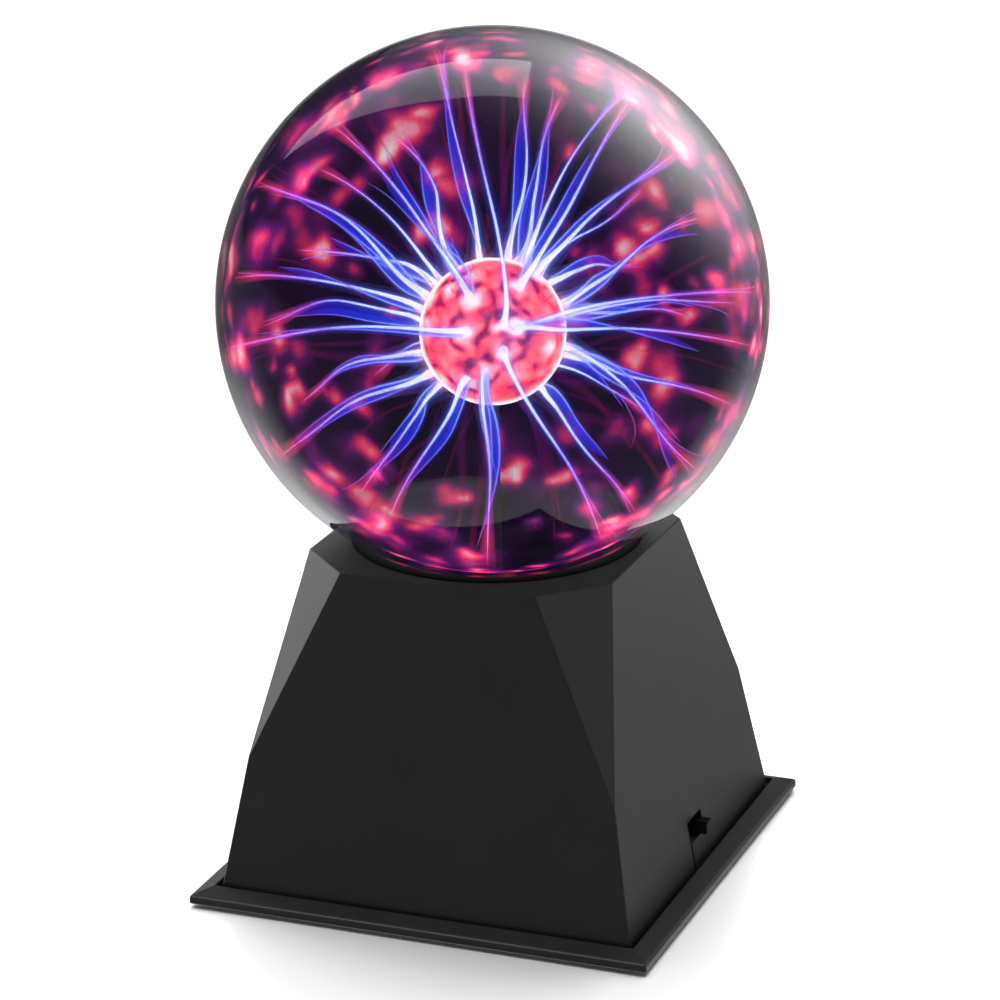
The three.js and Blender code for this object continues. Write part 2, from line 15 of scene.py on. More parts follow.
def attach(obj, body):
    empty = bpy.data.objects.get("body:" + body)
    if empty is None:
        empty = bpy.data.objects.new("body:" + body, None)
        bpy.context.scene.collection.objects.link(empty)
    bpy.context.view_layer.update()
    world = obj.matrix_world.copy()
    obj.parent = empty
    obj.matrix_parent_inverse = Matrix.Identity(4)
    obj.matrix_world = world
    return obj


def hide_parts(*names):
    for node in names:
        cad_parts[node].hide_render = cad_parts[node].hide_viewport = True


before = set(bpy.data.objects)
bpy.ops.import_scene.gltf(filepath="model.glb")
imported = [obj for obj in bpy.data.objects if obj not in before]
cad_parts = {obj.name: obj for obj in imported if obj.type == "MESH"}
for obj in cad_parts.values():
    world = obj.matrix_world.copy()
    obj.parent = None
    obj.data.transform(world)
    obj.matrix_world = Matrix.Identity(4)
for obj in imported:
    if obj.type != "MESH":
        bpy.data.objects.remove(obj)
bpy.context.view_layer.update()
scene = bpy.context.scene
rng = random.Random(7)
noise.seed_set(2)

# ---- Sizes, in millimetres ---------------------------------------------------------------

MM = 0.001

GLOBE = Vector((0, 0, 130.4))
GLOBE_R = 61
GLOBE_WALL = 1.6
NECK_R = 15
NECK_BOTTOM = 57.5
NECK_LIP_R = 16.4
ELECTRODE = Vector((0, 0, 124))
ELECTRODE_R = 16.3
STEM_R = 5
WALL_GLOW_R = 58.8  # where the strands of light end, just inside the glass

BASE_TOP = 76.8
BASE_TOP_HALF = 35.8
FACE_LEAN = 0.1734
FACET_TOP = 41.44  # from the axis to a corner facet's top edge
FACET_LEAN = 0.4541
BASE_BOTTOM = 2.9
WALL = 2.2
TOP_WALL = 2.4
EDGE_ROUND = 0.4

PLINTH_PROFILE = (  # half width and height, from the underside up to the rim
    (53.9, 0.8), (54.1, 1.0), (54.1, 2.2), (54.0, 2.55), (53.75, 2.85), (53.3, 3.0), (50.1, 4.08),
    (49.85, 4.1), (49.7, 3.95), (49.7, 2.6),
)
PLINTH_CORNER_R = 0.3
FOOT_AT = 45
SCREW_AT = 37
SCREW_POST_R = 3.5
CLAMP_AT = 20.9
CLAMP_POST_R = 3
CLAMP_POST_BOTTOM = 60.5
PILOT_R = 1.6  # the holes that the screws cut their threads in
BOARD_X = -8
BOARD_POST_X = 29  # from the board's middle
BOARD_POST_Y = 21
SWITCH_POST_Y = 9.6
SWITCH_POST_HALF = 2.4
SEAT_GAP = 0.35
NOTCH_HALF = 4.6
NOTCH_TOP = 14.3
TAB_TOP = 9.1
SWITCH_Z = 11
KNOB_Y = 2.75
KNOB_TIP = 49.4
KNOB_HALF_Y = 1.6
KNOB_HALF_Z = 1.5
CARRIER_HALF_Y = 2.9
CARRIER_HALF_Z = 2
INLET_Z = 14
INLET_HOLE_R = 4.2
INLET_DEPTH = 10

GLOBE_SIDES = 288
GLOBE_STEPS = 170
ELECTRODE_SIDES = 192
ROUND_SIDES = 64

CORNERS = {
    "front_left": (-1, -1),
    "front_right": (1, -1),
    "back_right": (1, 1),
    "back_left": (-1, 1),
}


def face_half(z):
    """Half the base's width at a height, without its corner facets."""
    return BASE_TOP_HALF + FACE_LEAN * (BASE_TOP - z)


def direction(azimuth, elevation):
    a, e = math.radians(azimuth), math.radians(elevation)
    return Vector((math.cos(e) * math.cos(a), math.cos(e) * math.sin(a), math.sin(e)))


# ---- Meshes ------------------------------------------------------------------------------
# A part is (vertices in millimetres, faces), and several parts can share one object.


def revolve(profile, sides=ROUND_SIDES, loop=False):
    """A profile of (radius, height) points turned about Z. It runs up the outside."""
    vertices, rings = [], []
    for r, z in profile:
        if r < 1e-6:
            rings.append([len(vertices)] * sides)
            vertices.append((0, 0, z))
            continue
        rings.append(range(len(vertices), len(vertices) + sides))
        turn = 2 * math.pi / sides
        vertices += [(r * math.cos(i * turn), r * math.sin(i * turn), z) for i in range(sides)]
    return vertices, stitched(rings, loop)


def stitched(rings, loop=False):
    """Faces between rings of vertex numbers. A ring that is one repeated vertex is a tip."""
    faces = []
    following = list(rings[1:]) + ([rings[0]] if loop else [])
    for low, high in zip(rings, following):
        count = len(low)
        for i in range(count):
            j = (i + 1) % count
            face = list(dict.fromkeys((low[i], low[j], high[j], high[i])))
            if len(face) > 2:
                faces.append(face)
    return faces


def lofted(rings, closed_ends=True):
    """Rings of points with the same count, joined in order."""
    count = len(rings[0])
    vertices = [p for ring in rings for p in ring]
    numbers = [range(k * count, (k + 1) * count) for k in range(len(rings))]
    faces = stitched(numbers)
    if closed_ends:
        faces += [list(reversed(numbers[0])), list(numbers[-1])]
    return vertices, faces


def moved(part, matrix):
    return [matrix @ Vector(v) for v in part[0]], part[1]


def rod(low_r, high_r, z0, z1, x=0, y=0, sides=ROUND_SIDES):
    part = revolve([(0, z0), (low_r, z0), (high_r, z1), (0, z1)], sides)
    return moved(part, Matrix.Translation((x, y, 0)))


def block(x0, x1, y0, y1, z0, z1):
    low = [(x0, y0, z0), (x1, y0, z0), (x1, y1, z0), (x0, y1, z0)]
    return lofted([low, [(x, y, z1) for x, y, _ in low]])


def new_object(name, parts, materials, smooth=35, face_slots=None):
    """An object from parts, smooth except where faces meet at more than the given angle."""
    vertices, faces = [], []
    for part_vertices, part_faces in parts:
        start = len(vertices)
        vertices += [Vector(v) * MM for v in part_vertices]
        faces += [[start + i for i in face] for face in part_faces]
    mesh = bpy.data.meshes.new(name)
    mesh.from_pydata(vertices, [], faces)
    for material in materials:
        mesh.materials.append(material)
    if face_slots:
        mesh.polygons.foreach_set("material_index", face_slots)
    obj = bpy.data.objects.new(name, mesh)
    scene.collection.objects.link(obj)
    shade(obj, smooth)
    return obj


def shade(obj, angle):
    obj.data.shade_smooth()
    obj.data.set_sharp_from_angle(angle=math.radians(angle))


def carved(obj, parts, operation="DIFFERENCE", smooth=35):
    """Cuts parts out of an object, or joins them to it."""
    tool = new_object("tool", parts, [])
    modifier = obj.modifiers.new("carve", "BOOLEAN")
    modifier.operation = operation
    modifier.solver = "EXACT"
    modifier.object = tool
    depsgraph = bpy.context.evaluated_depsgraph_get()
    mesh = bpy.data.meshes.new_from_object(obj.evaluated_get(depsgraph))
    obj.modifiers.clear()
    obj.data, old = mesh, obj.data
    bpy.data.meshes.remove(old)
    bpy.data.objects.remove(tool)
    shade(obj, smooth)
    return obj


def rounded(obj, width, segments=3, angle=20):
    """Rounds an object's sharp edges."""
    bm = bmesh.new()
    bm.from_mesh(obj.data)
    edges = [e for e in bm.edges if e.calc_face_angle(0) > math.radians(angle)]
    bmesh.ops.bevel(
        bm, geom=edges, offset=width * MM, segments=segments, profile=0.5, affect="EDGES"
    )
    bm.to_mesh(obj.data)
    bm.free()
    return obj


def flat_faced(obj):
    """Weighs normals by face area, so that large faces shade flat beside rounded edges."""
    obj.modifiers.new("flat faces", "WEIGHTED_NORMAL").keep_sharp = True
    return obj


def stands_for(obj, node, slot, body="lamp"):
    """Puts a fine piece on a body in a CAD node's place, and hides that node. Slot is not used."""
    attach(obj, body)
    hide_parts(node)


def store(obj, attribute, values):
    layer = obj.data.attributes.new(attribute, "FLOAT", "POINT")
    layer.data.foreach_set("value", values)


# ---- Materials ---------------------------------------------------------------------------


class Nodes:
    """A material's or a world's node tree, with short ways to add to it."""

    def __init__(self, owner):
        owner.use_nodes = True
        self.tree = owner.node_tree
        self.tree.nodes.clear()

    def add(self, kind, inputs=None, **settings):
        node = self.tree.nodes.new(kind)
        for key, value in settings.items():
            setattr(node, key, value)
        for key, value in (inputs or {}).items():
            if isinstance(value, bpy.types.NodeSocket):
                self.tree.links.new(value, node.inputs[key])
            else:
                node.inputs[key].default_value = value
        return node

    def ramp(self, factor, stops):
        """A colour ramp of (position, colour) stops."""
        node = self.add("ShaderNodeValToRGB", {"Fac": factor})
        elements = node.color_ramp.elements
        for extra in stops[2:]:
            elements.new(extra[0])
        for element, (position, colour) in zip(elements, stops):
            element.position = position
            element.color = (*colour, 1)
        return node.outputs["Color"]

    def spread(self, factor, low, high):
        """A factor of 0 to 1 turned into a number between low and high."""
        node = self.add("ShaderNodeMapRange", {"Value": factor, "To Min": low, "To Max": high})
        return node.outputs["Result"]

    def between(self, value, from_low, from_high, low, high):
        inputs = {"Value": value, "From Min": from_low, "From Max": from_high}
        inputs |= {"To Min": low, "To Max": high}
        return self.add("ShaderNodeMapRange", inputs).outputs["Result"]

    def product(self, one, other):
        return self.add("ShaderNodeMath", {0: one, 1: other}, operation="MULTIPLY").outputs[0]

    def total(self, one, other):
        return self.add("ShaderNodeMath", {0: one, 1: other}, operation="ADD").outputs[0]

    def rimmed(self, colour, low, high, rim):
        """A painted sheen: a colour that gives way to another as the surface turns edge on."""
        facing = self.add("ShaderNodeLayerWeight", {"Blend": 0.5}).outputs["Facing"]
        inputs = {"Value": facing, "From Min": low, "From Max": high}
        edge = self.add("ShaderNodeMapRange", inputs, interpolation_type="SMOOTHSTEP")
        inputs = {"Factor": edge.outputs["Result"], "A": colour, "B": (*rim, 1)}
        return self.add("ShaderNodeMix", inputs, data_type="RGBA").outputs["Result"]

    def noise(self, scale, detail=4.0, stretch=(1, 1, 1)):
        place = self.add("ShaderNodeTexCoord").outputs["Object"]
        place = self.add("ShaderNodeMapping", {"Vector": place, "Scale": stretch}).outputs[0]
        inputs = {"Vector": place, "Scale": scale, "Detail": detail}
        return self.add("ShaderNodeTexNoise", inputs).outputs[0]

    def finish(self, shader, output="ShaderNodeOutputMaterial"):
        self.add(output, {"Surface": shader.outputs[0]})


def principled(nodes, inputs):
    return nodes.add("ShaderNodeBsdfPrincipled", inputs)


def tinted(colour, share):
    return tuple(min(1.0, c * share) for c in colour)


def moulded(name, colour, rough, grain=900, relief=0.12, patchy=0.12, metal=0.0, stretch=(1, 1, 1)):
    """A surface with a fine grain, and gloss that wanders a little over a few millimetres."""
    material = bpy.data.materials.new(name)
    nodes = Nodes(material)
    fine = nodes.noise(grain, 3, stretch)
    broad = nodes.noise(60, 2, stretch)
    shade_of = nodes.ramp(
        broad, ((0.3, tinted(colour, 1 - patchy)), (0.7, tinted(colour, 1 + patchy)))
    )
    bump = nodes.add("ShaderNodeBump", {"Height": fine, "Strength": relief, "Distance": 0.0001})
    shader = principled(
        nodes,
        {
            "Base Color": shade_of,
            "Roughness": nodes.spread(broad, rough * 0.88, rough * 1.12),
            "Metallic": metal,
            "Normal": bump.outputs[0],
        },
    )
    nodes.finish(shader)
    return material


def banded(name, dark, light, scale, rough, metal=0.0, axis="Z"):
    """A wound or ribbed surface: bands across one axis, in colour and in relief."""
    material = bpy.data.materials.new(name)
    nodes = Nodes(material)
    place = nodes.add("ShaderNodeTexCoord").outputs["Object"]
    wave = nodes.add(
        "ShaderNodeTexWave",
        {"Vector": place, "Scale": scale, "Distortion": 0.6, "Detail": 1.0},
        bands_direction=axis,
    ).outputs["Fac"]
    bump = nodes.add("ShaderNodeBump", {"Height": wave, "Strength": 0.5, "Distance": 0.0002})
    shader = principled(
        nodes,
        {
            "Base Color": nodes.ramp(wave, ((0.2, dark), (0.8, light))),
            "Roughness": rough,
            "Metallic": metal,
            "Normal": bump.outputs[0],
        },
    )
    nodes.finish(shader)
    return material


def printed_board():
    """Green solder mask over copper tracks."""
    material = bpy.data.materials.new("board_green")
    nodes = Nodes(material)
    place = nodes.add("ShaderNodeTexCoord").outputs["Object"]
    tracks = nodes.add(
        "ShaderNodeTexBrick",
        {"Vector": place, "Scale": 160.0, "Mortar Size": 0.06, "Mortar Smooth": 0.3},
        offset=0.37,
    ).outputs["Fac"]
    bump = nodes.add("ShaderNodeBump", {"Height": tracks, "Strength": 0.4, "Distance": 0.00005})
    shader = principled(
        nodes,
        {
            "Base Color": nodes.ramp(tracks, ((0.0, (0.015, 0.09, 0.03)), (1.0, (0.04, 0.2, 0.07)))),
            "Roughness": 0.4,
            "Normal": bump.outputs[0],
        },
    )
    nodes.finish(shader)
    return material


def glass(name, tint, alpha, rough=0.02, ior=1.5, glow=None):
    """Clear glass that shows what is behind it, with faint streaks in its polish."""
    material = bpy.data.materials.new(name)
    material.cycles.emission_sampling = "NONE"
    nodes = Nodes(material)
    streaks = nodes.noise(25, 2, (1, 1, 0.3))
    inputs = {
        "Base Color": nodes.ramp(streaks, ((0.3, tint), (0.7, tinted(tint, 1.3)))),
        "Roughness": rough,
        "IOR": ior,
        "Alpha": alpha,
    }
    if glow:
        factor, stops, strength = glow
        value = nodes.add("ShaderNodeAttribute", attribute_name=factor).outputs["Fac"]
        inputs |= {"Emission Color": nodes.ramp(value, stops), "Emission Strength": strength}
    nodes.finish(principled(nodes, inputs))
    return material


def glowing(name, factor, stops, strength, alpha, grain=0.0, rim=None):
    """Light that a stored attribute colours. Alpha says how much it hides.

    Grain is how far fine noise scales the attribute up and down. Rim is where the painted
    sheen of the edge starts and is whole, and its colour.
    """
    material = bpy.data.materials.new(name)
    material.cycles.emission_sampling = "NONE"
    nodes = Nodes(material)
    value = nodes.add("ShaderNodeAttribute", attribute_name=factor).outputs["Fac"]
    if grain:
        value = nodes.product(value, nodes.spread(nodes.noise(220, 5), 1 - grain, 1 + grain))
    colour = nodes.ramp(value, stops)
    if rim:
        colour = nodes.rimmed(colour, *rim)
    shader = principled(
        nodes,
        {
            "Base Color": (0, 0, 0, 1),
            "Roughness": 1.0,
            "Specular IOR Level": 0.0,
            "Emission Color": colour,
            "Emission Strength": strength,
            "Alpha": alpha,
        },
    )
    nodes.finish(shader)
    return material


BASE_PLASTIC = moulded("base_plastic", (0.017, 0.017, 0.0175), 0.42, grain=1400, relief=0.08)
DARK_PLASTIC = moulded("dark_plastic", (0.01, 0.01, 0.01), 0.4)
KNOB_PLASTIC = moulded("knob_plastic", (0.006, 0.006, 0.0062), 0.6)
RUBBER = moulded("black_rubber", (0.012, 0.012, 0.012), 0.8, grain=500, relief=0.3)
ZINC = moulded("steel_zinc", (0.55, 0.56, 0.58), 0.32, metal=1.0, stretch=(1, 1, 8))
BARE_METAL = moulded("bare_metal", (0.6, 0.61, 0.63), 0.28, metal=1.0, stretch=(1, 8, 1))
BLACKED_STEEL = moulded("blacked_steel", (0.018, 0.018, 0.021), 0.6, metal=0.4)
FERRITE = moulded("ferrite", (0.03, 0.03, 0.034), 0.6, grain=400, relief=0.4)
CREAM = moulded("cream_plastic", (0.7, 0.62, 0.42), 0.5)
RED = moulded("red_insulation", (0.5, 0.02, 0.02), 0.45)
COPPER = banded("copper_brown", (0.3, 0.11, 0.04), (0.65, 0.27, 0.1), 900, 0.35, 0.7)
SLEEVE = banded("capacitor_sleeve", (0.01, 0.012, 0.03), (0.02, 0.025, 0.06), 300, 0.4)
BOARD = printed_board()

# ---- The light inside the globe ----------------------------------------------------------
# Each strand leaves the electrode in one direction and meets the glass in another. Then come
# half its width and its number of threads.

STRANDS = (
    (-90, 40, -135, 50, 1.9, 3),
    (155, 45, 135, 30, 2.0, 2),
    (-60, 20, -90, 75, 0.9, 1),
    (90, 55, 100, 45, 1.3, 2),
    (80, 50, 90, 40, 2.2, 3),
    (-35, 50, 0, 55, 1.6, 2),
    (15, 55, 0, 40, 0.8, 2),
    (40, 15, 55, 10, 2.0, 3),
    (40, 10, 60, -15, 0.8, 2),
    (-50, 20, 10, -10, 1.2, 2),
    (-50, 15, 10, 5, 0.8, 1),
    (30, -15, 15, -40, 1.9, 3),
    (30, -20, 20, -25, 1.6, 2),
    (20, -50, -25, -40, 1.2, 2),
    (-60, 0, -25, -55, 0.8, 1),
    (-75, -15, -75, -60, 1.8, 4),
    (-90, -25, -100, -40, 1.1, 2),
    (-160, -45, 180, -55, 1.6, 3),
    (-160, -35, -155, -35, 1.5, 3),
    (-90, 15, -150, -5, 1.0, 2),
    (-180, 10, -170, 5, 1.0, 2),
    (180, 20, -175, 25, 1.9, 4),
    (-165, -20, 170, -30, 1.6, 3),
    (170, 30, 160, 5, 1.4, 2),
    (55, 30, 75, -5, 1.2, 2),
)
FRONT = direction(-68, 19)  # the side that the strands' veils turn their width to
FILLERS = 30
FAINT_STRANDS = 60
STEPS = 32
SHEET_HALF = 0.08  # half the thickness of the light between two threads

CORE_STOPS = (
    (0.0, (1.0, 0.72, 0.84)),
    (0.07, (1.0, 0.92, 1.0)),
    (0.36, (0.75, 0.84, 1.0)),
    (0.66, (0.48, 0.56, 1.0)),
    (0.83, (0.55, 0.32, 1.0)),
    (0.94, (0.9, 0.25, 0.75)),
    (1.0, (0.4, 0.04, 0.15)),
)
GLOW_STOPS = (
    (0.0, (1.0, 0.4, 0.65)),
    (0.05, (0.7, 0.35, 0.85)),
    (0.12, (0.16, 0.24, 1.0)),
    (0.55, (0.07, 0.1, 1.0)),
    (0.78, (0.22, 0.06, 0.75)),
    (1.0, (0.8, 0.06, 0.2)),
)
EDGE_STOPS = (
    (0.0, (0.9, 0.7, 0.95)),
    (0.1, (0.55, 0.62, 1.0)),
    (0.6, (0.22, 0.28, 1.0)),
    (0.82, (0.32, 0.14, 0.9)),
    (1.0, (0.8, 0.12, 0.4)),
)
SHEET_STOPS = (
    (0.0, (0.6, 0.12, 0.5)),
    (0.1, (0.12, 0.12, 1.0)),
    (0.25, (0.03, 0.06, 1.0)),
    (0.62, (0.015, 0.025, 0.85)),
    (0.84, (0.07, 0.015, 0.55)),
    (1.0, (0.12, 0.01, 0.25)),
)
FAINT_STOPS = (
    (0.0, (0.1, 0.02, 0.4)),
    (0.35, (0.22, 0.01, 0.3)),
    (0.7, (0.35, 0.01, 0.12)),
    (1.0, (0.6, 0.02, 0.08)),
)
PLUME_STOPS = (
    (0.5, (0.0, 0.0, 0.0)),
    (0.65, (0.12, 0.03, 0.6)),
    (0.8, (0.45, 0.03, 0.5)),
    (0.92, (1.0, 0.05, 0.2)),
    (1.0, (0.2, 0.0, 0.02)),
)
ELECTRODE_STOPS = (
    (0.0, (0.1, 0.004, 0.06)),
    (0.22, (0.42, 0.015, 0.1)),
    (0.4, (0.9, 0.06, 0.12)),
    (0.6, (0.98, 0.2, 0.26)),
    (0.82, (1.0, 0.5, 0.6)),
    (1.0, (1.0, 0.9, 0.95)),
)
WALL_STOPS = (
    (0.0, (0.0, 0.0, 0.0)),
    (0.1, (0.006, 0.0008, 0.014)),
    (0.3, (0.1, 0.006, 0.11)),
    (0.52, (0.55, 0.018, 0.12)),
    (0.72, (1.0, 0.08, 0.18)),
    (0.9, (1.0, 0.45, 0.55)),
    (1.0, (1.0, 0.85, 0.9)),
)

CORE_LIGHT = glowing("plasma_core", "reach", CORE_STOPS, 5.0, 0.5)
EDGE_LIGHT = glowing("plasma_edge", "reach", EDGE_STOPS, 4.0, 0.4)
INNER_GLOW = glowing("plasma_inner_glow", "reach", GLOW_STOPS, 4.0, 0.16)
MIDDLE_GLOW = glowing("plasma_middle_glow", "reach", GLOW_STOPS, 3.0, 0.08)
OUTER_GLOW = glowing("plasma_outer_glow", "reach", GLOW_STOPS, 2.6, 0.035)
SHEET_LIGHT = glowing("plasma_sheet", "reach", SHEET_STOPS, 4.4, 0.13)
FAINT_LIGHT = glowing("plasma_faint", "reach", FAINT_STOPS, 1.8, 0.05)
PLUME_LIGHT = glowing("plasma_plume", "reach", PLUME_STOPS, 3.4, 0.045)


def wander(seed, along, pace):
    """A smooth random vector that changes along a path."""
    return noise.noise_vector(Vector((along * pace, seed * 3.7, seed * 1.3)))


def strand_path(root, end, seed, sway=3.0):
    """Points from the electrode's skin to the glass, leaving and arriving nearly upright."""
    start = ELECTRODE + root * (ELECTRODE_R - 1.2)
    finish = GLOBE + end * WALL_GLOW_R
    reach = (finish - start).length
    lift = Vector((0, 0, 0.06 * reach))
    leave = start + root * reach * 0.22 + lift * 0.5
    arrive = finish - end * reach * 0.34 - (finish - start) * 0.06 + lift
    points = []
    for k in range(STEPS + 1):
        t = k / STEPS
        s = 1 - t
        point = s**3 * start + 3 * s * s * t * leave + 3 * s * t * t * arrive + t**3 * finish
        point += wander(seed, t, 1.7) * sway * math.sin(math.pi * t)
        points.append(point)
    return points


def tube(points, widths, heights, sides, across):
    """A closed tube with an oval section. Across says which way its width lies."""
    rings = []
    for k, point in enumerate(points):
        ahead = points[min(k + 1, len(points) - 1)] - points[max(k - 1, 0)]
        side = across[k]
        rise = ahead.normalized().cross(side)
        turn = 2 * math.pi / sides
        rings.append(
            [
                point + side * widths[k] * math.cos(i * turn) + rise * heights[k] * math.sin(i * turn)
                for i in range(sides)
            ]
        )
    return lofted(rings)


def sides_of(points, seed):
    """Unit vectors across a path, which face the front and twist slowly."""
    found = []
    for k, point in enumerate(points):
        ahead = (points[min(k + 1, len(points) - 1)] - points[max(k - 1, 0)]).normalized()
        side = ahead.cross(FRONT).normalized()
        twist = Matrix.Rotation(noise.noise(Vector((k * 0.07, seed, 0))) * 1.6, 3, ahead)
        found.append(twist @ side)
    return found


def thin(points, radius, sides, across):
    return tube(points, radius, radius, sides, across)


class Light:
    """Parts of one kind of light, with how far along its strand each vertex is."""

    def __init__(self, name, materials):
        self.name, self.materials = name, materials
        self.parts, self.reach, self.slots = [], [], []

    def add(self, part, sides, slot=0, first=0.0, last=1.0):
        rings = len(part[0]) // sides
        self.parts.append(part)
        self.slots += [slot] * len(part[1])
        for k in range(rings):
            self.reach += [first + (last - first) * k / (rings - 1)] * sides

    def build(self):
        obj = new_object(self.name, self.parts, self.materials, 180, self.slots)
        store(obj, "reach", self.reach)
        hide_from_lighting(obj)
        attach(obj, "lamp")
        return obj


def hide_from_lighting(obj):
    """The studio's picture of the light doesn't need it to light other things."""
    obj.visible_diffuse = obj.visible_glossy = obj.visible_shadow = False


cores = Light("plasma_cores", [CORE_LIGHT, EDGE_LIGHT])
glows = Light("plasma_glows", [INNER_GLOW, MIDDLE_GLOW, OUTER_GLOW, PLUME_LIGHT])
veils = Light("plasma_veils", [SHEET_LIGHT, FAINT_LIGHT])


def thread(points, across, radius, flare, first=0.0, last=1.0, slot=0):
    """One bright line with its glow, thick at its root and pointed at its end."""
    widths = []
    for k in range(len(points)):
        share = k / (len(points) - 1)
        t = first + (last - first) * share
        point_out = (1 - share**4) ** 0.7 + 0.03
        widths.append((radius * (1.15 - 0.6 * t) + flare * math.exp(-t / 0.13)) * point_out)
    cores.add(thin(points, widths, 6, across), 6, slot, first, last)
    for layer, (grow, extra) in enumerate(((1.6, 0), (2.6, 0.05), (4.5, 0.25))):
        wide = [w * grow + extra * min(1, 8 * w) for w in widths]
        glows.add(thin(points, wide, 7, across), 7, layer, first, last)


def sheet(one, other):
    """A thin film of light stretched from one thread to another."""
    rings = []
    last = min(len(one), len(other))
    for k, (a, b) in enumerate(zip(one, other)):
        ahead = one[min(k + 1, last - 1)] - one[max(k - 1, 0)]
        b = a.lerp(b, 1 - max(0, 3.2 * k / (last - 1) - 2.2) ** 2)
        half = (b - a) / 2
        rise = ahead.cross(half).normalized() * SHEET_HALF
        turns = [math.radians(60 * i) for i in range(6)]
        rings.append([(a + b) / 2 + half * math.cos(c) + rise * math.sin(c) for c in turns])
    veils.add(lofted(rings), 6, 0, 0, (last - 1) / STEPS)


def plume(path, across, size):
    """The soft reddish cloud that a strand widens into before it meets the glass."""
    start = round(STEPS * 0.5)
    tail = path[start:]
    for n in range(5):
        widths = []
        for k in range(len(tail)):
            share = k / (len(tail) - 1)
            widths.append(0.1 + size * (1 - 0.19 * n) * share**1.5)
        glows.add(thin(tail, widths, 10, across[start:]), 10, 3, start / STEPS, 1)


def whiskers(path, end, seed, count):
    """Fine forks that leave a strand and spread out to the glass."""
    for n in range(count):
        start = round(STEPS * rng.uniform(0.6, 0.75))
        off = Vector([rng.gauss(0, 0.06) for _ in range(3)])
        goal = GLOBE + (end + off).normalized() * WALL_GLOW_R
        points = []
        for k in range(start, STEPS + 1):
            share = (k - start) / (STEPS - start)
            bow = wander(seed + n * 5.1, share, 1.2) * 0.6 * math.sin(math.pi * share)
            points.append(path[k].lerp(goal, share**1.5) + bow)
        thread(points, sides_of(points, seed), rng.uniform(0.07, 0.12), 0, start / STEPS, 1, 1)


def threads_of(path, across, half, count, seed):
    """Lines round a path that draw together, cross, and spread out again near the glass."""
    meet = 0.8 + 0.6 * noise.noise(Vector((seed * 1.7, 3.3, 3.1)))
    found = []
    for n in range(count):
        place = 0 if count == 1 else 2 * n / (count - 1) - 1
        points = []
        for k, point in enumerate(path):
            t = k / STEPS
            if t < meet:
                swing = 0.3 * (1 - t / meet) + 0.75 * math.sin(math.pi * (t / meet) ** 1.4)
            else:
                swing = -5 * (t - meet)
            swing = place * swing + 0.8 * noise.noise(Vector((t * 2.2, seed + n * 9.1, 5)))
            stray = wander(seed + n * 11, t, 1.9) * half * 0.7
            points.append(point + (across[k] * half * swing + stray) * min(1, 0.2 + 5 * t))
        found.append(points)
    return found


def strand(root, end, half, count, seed, size=1.0):
    """Threads that share a root, films of light between them, and a plume at their end."""
    path = strand_path(root, end, seed)
    across = sides_of(path, seed)
    threads = threads_of(path, across, half, count, seed)
    main = count // 2
    for n in range(count):
        if n != main:
            threads[n] = threads[n][: round(STEPS * rng.uniform(0.7, 0.98)) + 1]
    for one, other in zip(threads, threads[1:]):
        sheet(one, other)
        near = [a.lerp(b, 0.45) for a, b in zip(one, other)]
        sheet(one, near)
    for n, points in enumerate(threads):
        last = (len(points) - 1) / STEPS
        if n == main:
            flare = size * (0.95 + 0.6 * noise.noise(Vector((seed, 8.3, 8.1))))
            thread(points, across, size * 0.32, flare)
        else:
            radius = size * rng.uniform(0.1, 0.22)
            thread(points, across[: len(points)], radius, size * 0.15, 0, last, 1)
    plume(threads[main], across, rng.uniform(1.3, 2.6))
    whiskers(threads[main], end, seed, rng.choice((0, 1, 1, 2)))


def faint_strand(end, seed):
    """A dim streamer without a bright core."""
    root = (end + 0.3 * Vector(wander(seed, 0, 1))).normalized()
    path = strand_path(root, end, seed, 4.5)
    across = sides_of(path, seed)
    half = rng.uniform(0.3, 1.4)
    for share in (1.0, 0.6):
        wide = [half * share * (0.3 + 0.7 * math.sin(math.pi * k / STEPS)) for k in range(STEPS + 1)]
        veils.add(tube(path, wide, [0.3 * w for w in wide], 8, across), 8, 1)


def even_directions(count):
    """Directions spread evenly over a ball."""
    golden = math.pi * (3 - math.sqrt(5))
    for k in range(count):
        z = 1 - 2 * (k + 0.5) / count
        r = math.sqrt(1 - z * z)
        yield Vector((r * math.cos(golden * k), r * math.sin(golden * k), z))


def apart(one, others, degrees):
    return all(one.angle(other) > math.radians(degrees) for other in others)


roots = [direction(s[0], s[1]) for s in STRANDS]
ends = [direction(s[2], s[3]) for s in STRANDS]
for number, (root, end, s) in enumerate(zip(roots, ends, STRANDS)):
    strand(root, end, s[4], s[5], number * 1.7 + 0.3)

NECK_WAY = Vector((0, 0, -1))
for number, end in enumerate(even_directions(FILLERS)):
    if end.dot(FRONT) < 0 and end.dot(NECK_WAY) < 0.85 and apart(end, ends, 16):
        root = (end + Vector((0, 0, 0.15))).normalized()
        half, count = rng.uniform(1.0, 2.0), rng.choice((1, 2, 3))
        strand(root, end, half, count, 60 + number * 1.9, 0.75)
        roots.append(root)
        ends.append(end)
for number, end in enumerate(even_directions(FAINT_STRANDS)):
    if end.dot(FRONT) < 0.72:
        faint_strand(end, 200 + number * 2.3)
for light in (cores, glows, veils):
    light.build()

# ---- Glass globe, whose inner face glows where the strands meet it -------------------------


def ball_outline(radius, centre_z, low_r, steps):
    """Points of a ball's outline from a low radius, past its equator, to its top."""
    start = math.pi - math.asin(low_r / radius)
    angles = [start * (1 - i / steps) for i in range(steps)]
    points = [(radius * math.sin(a), centre_z + radius * math.cos(a)) for a in angles]
    return [*points, (0, centre_z + radius)]


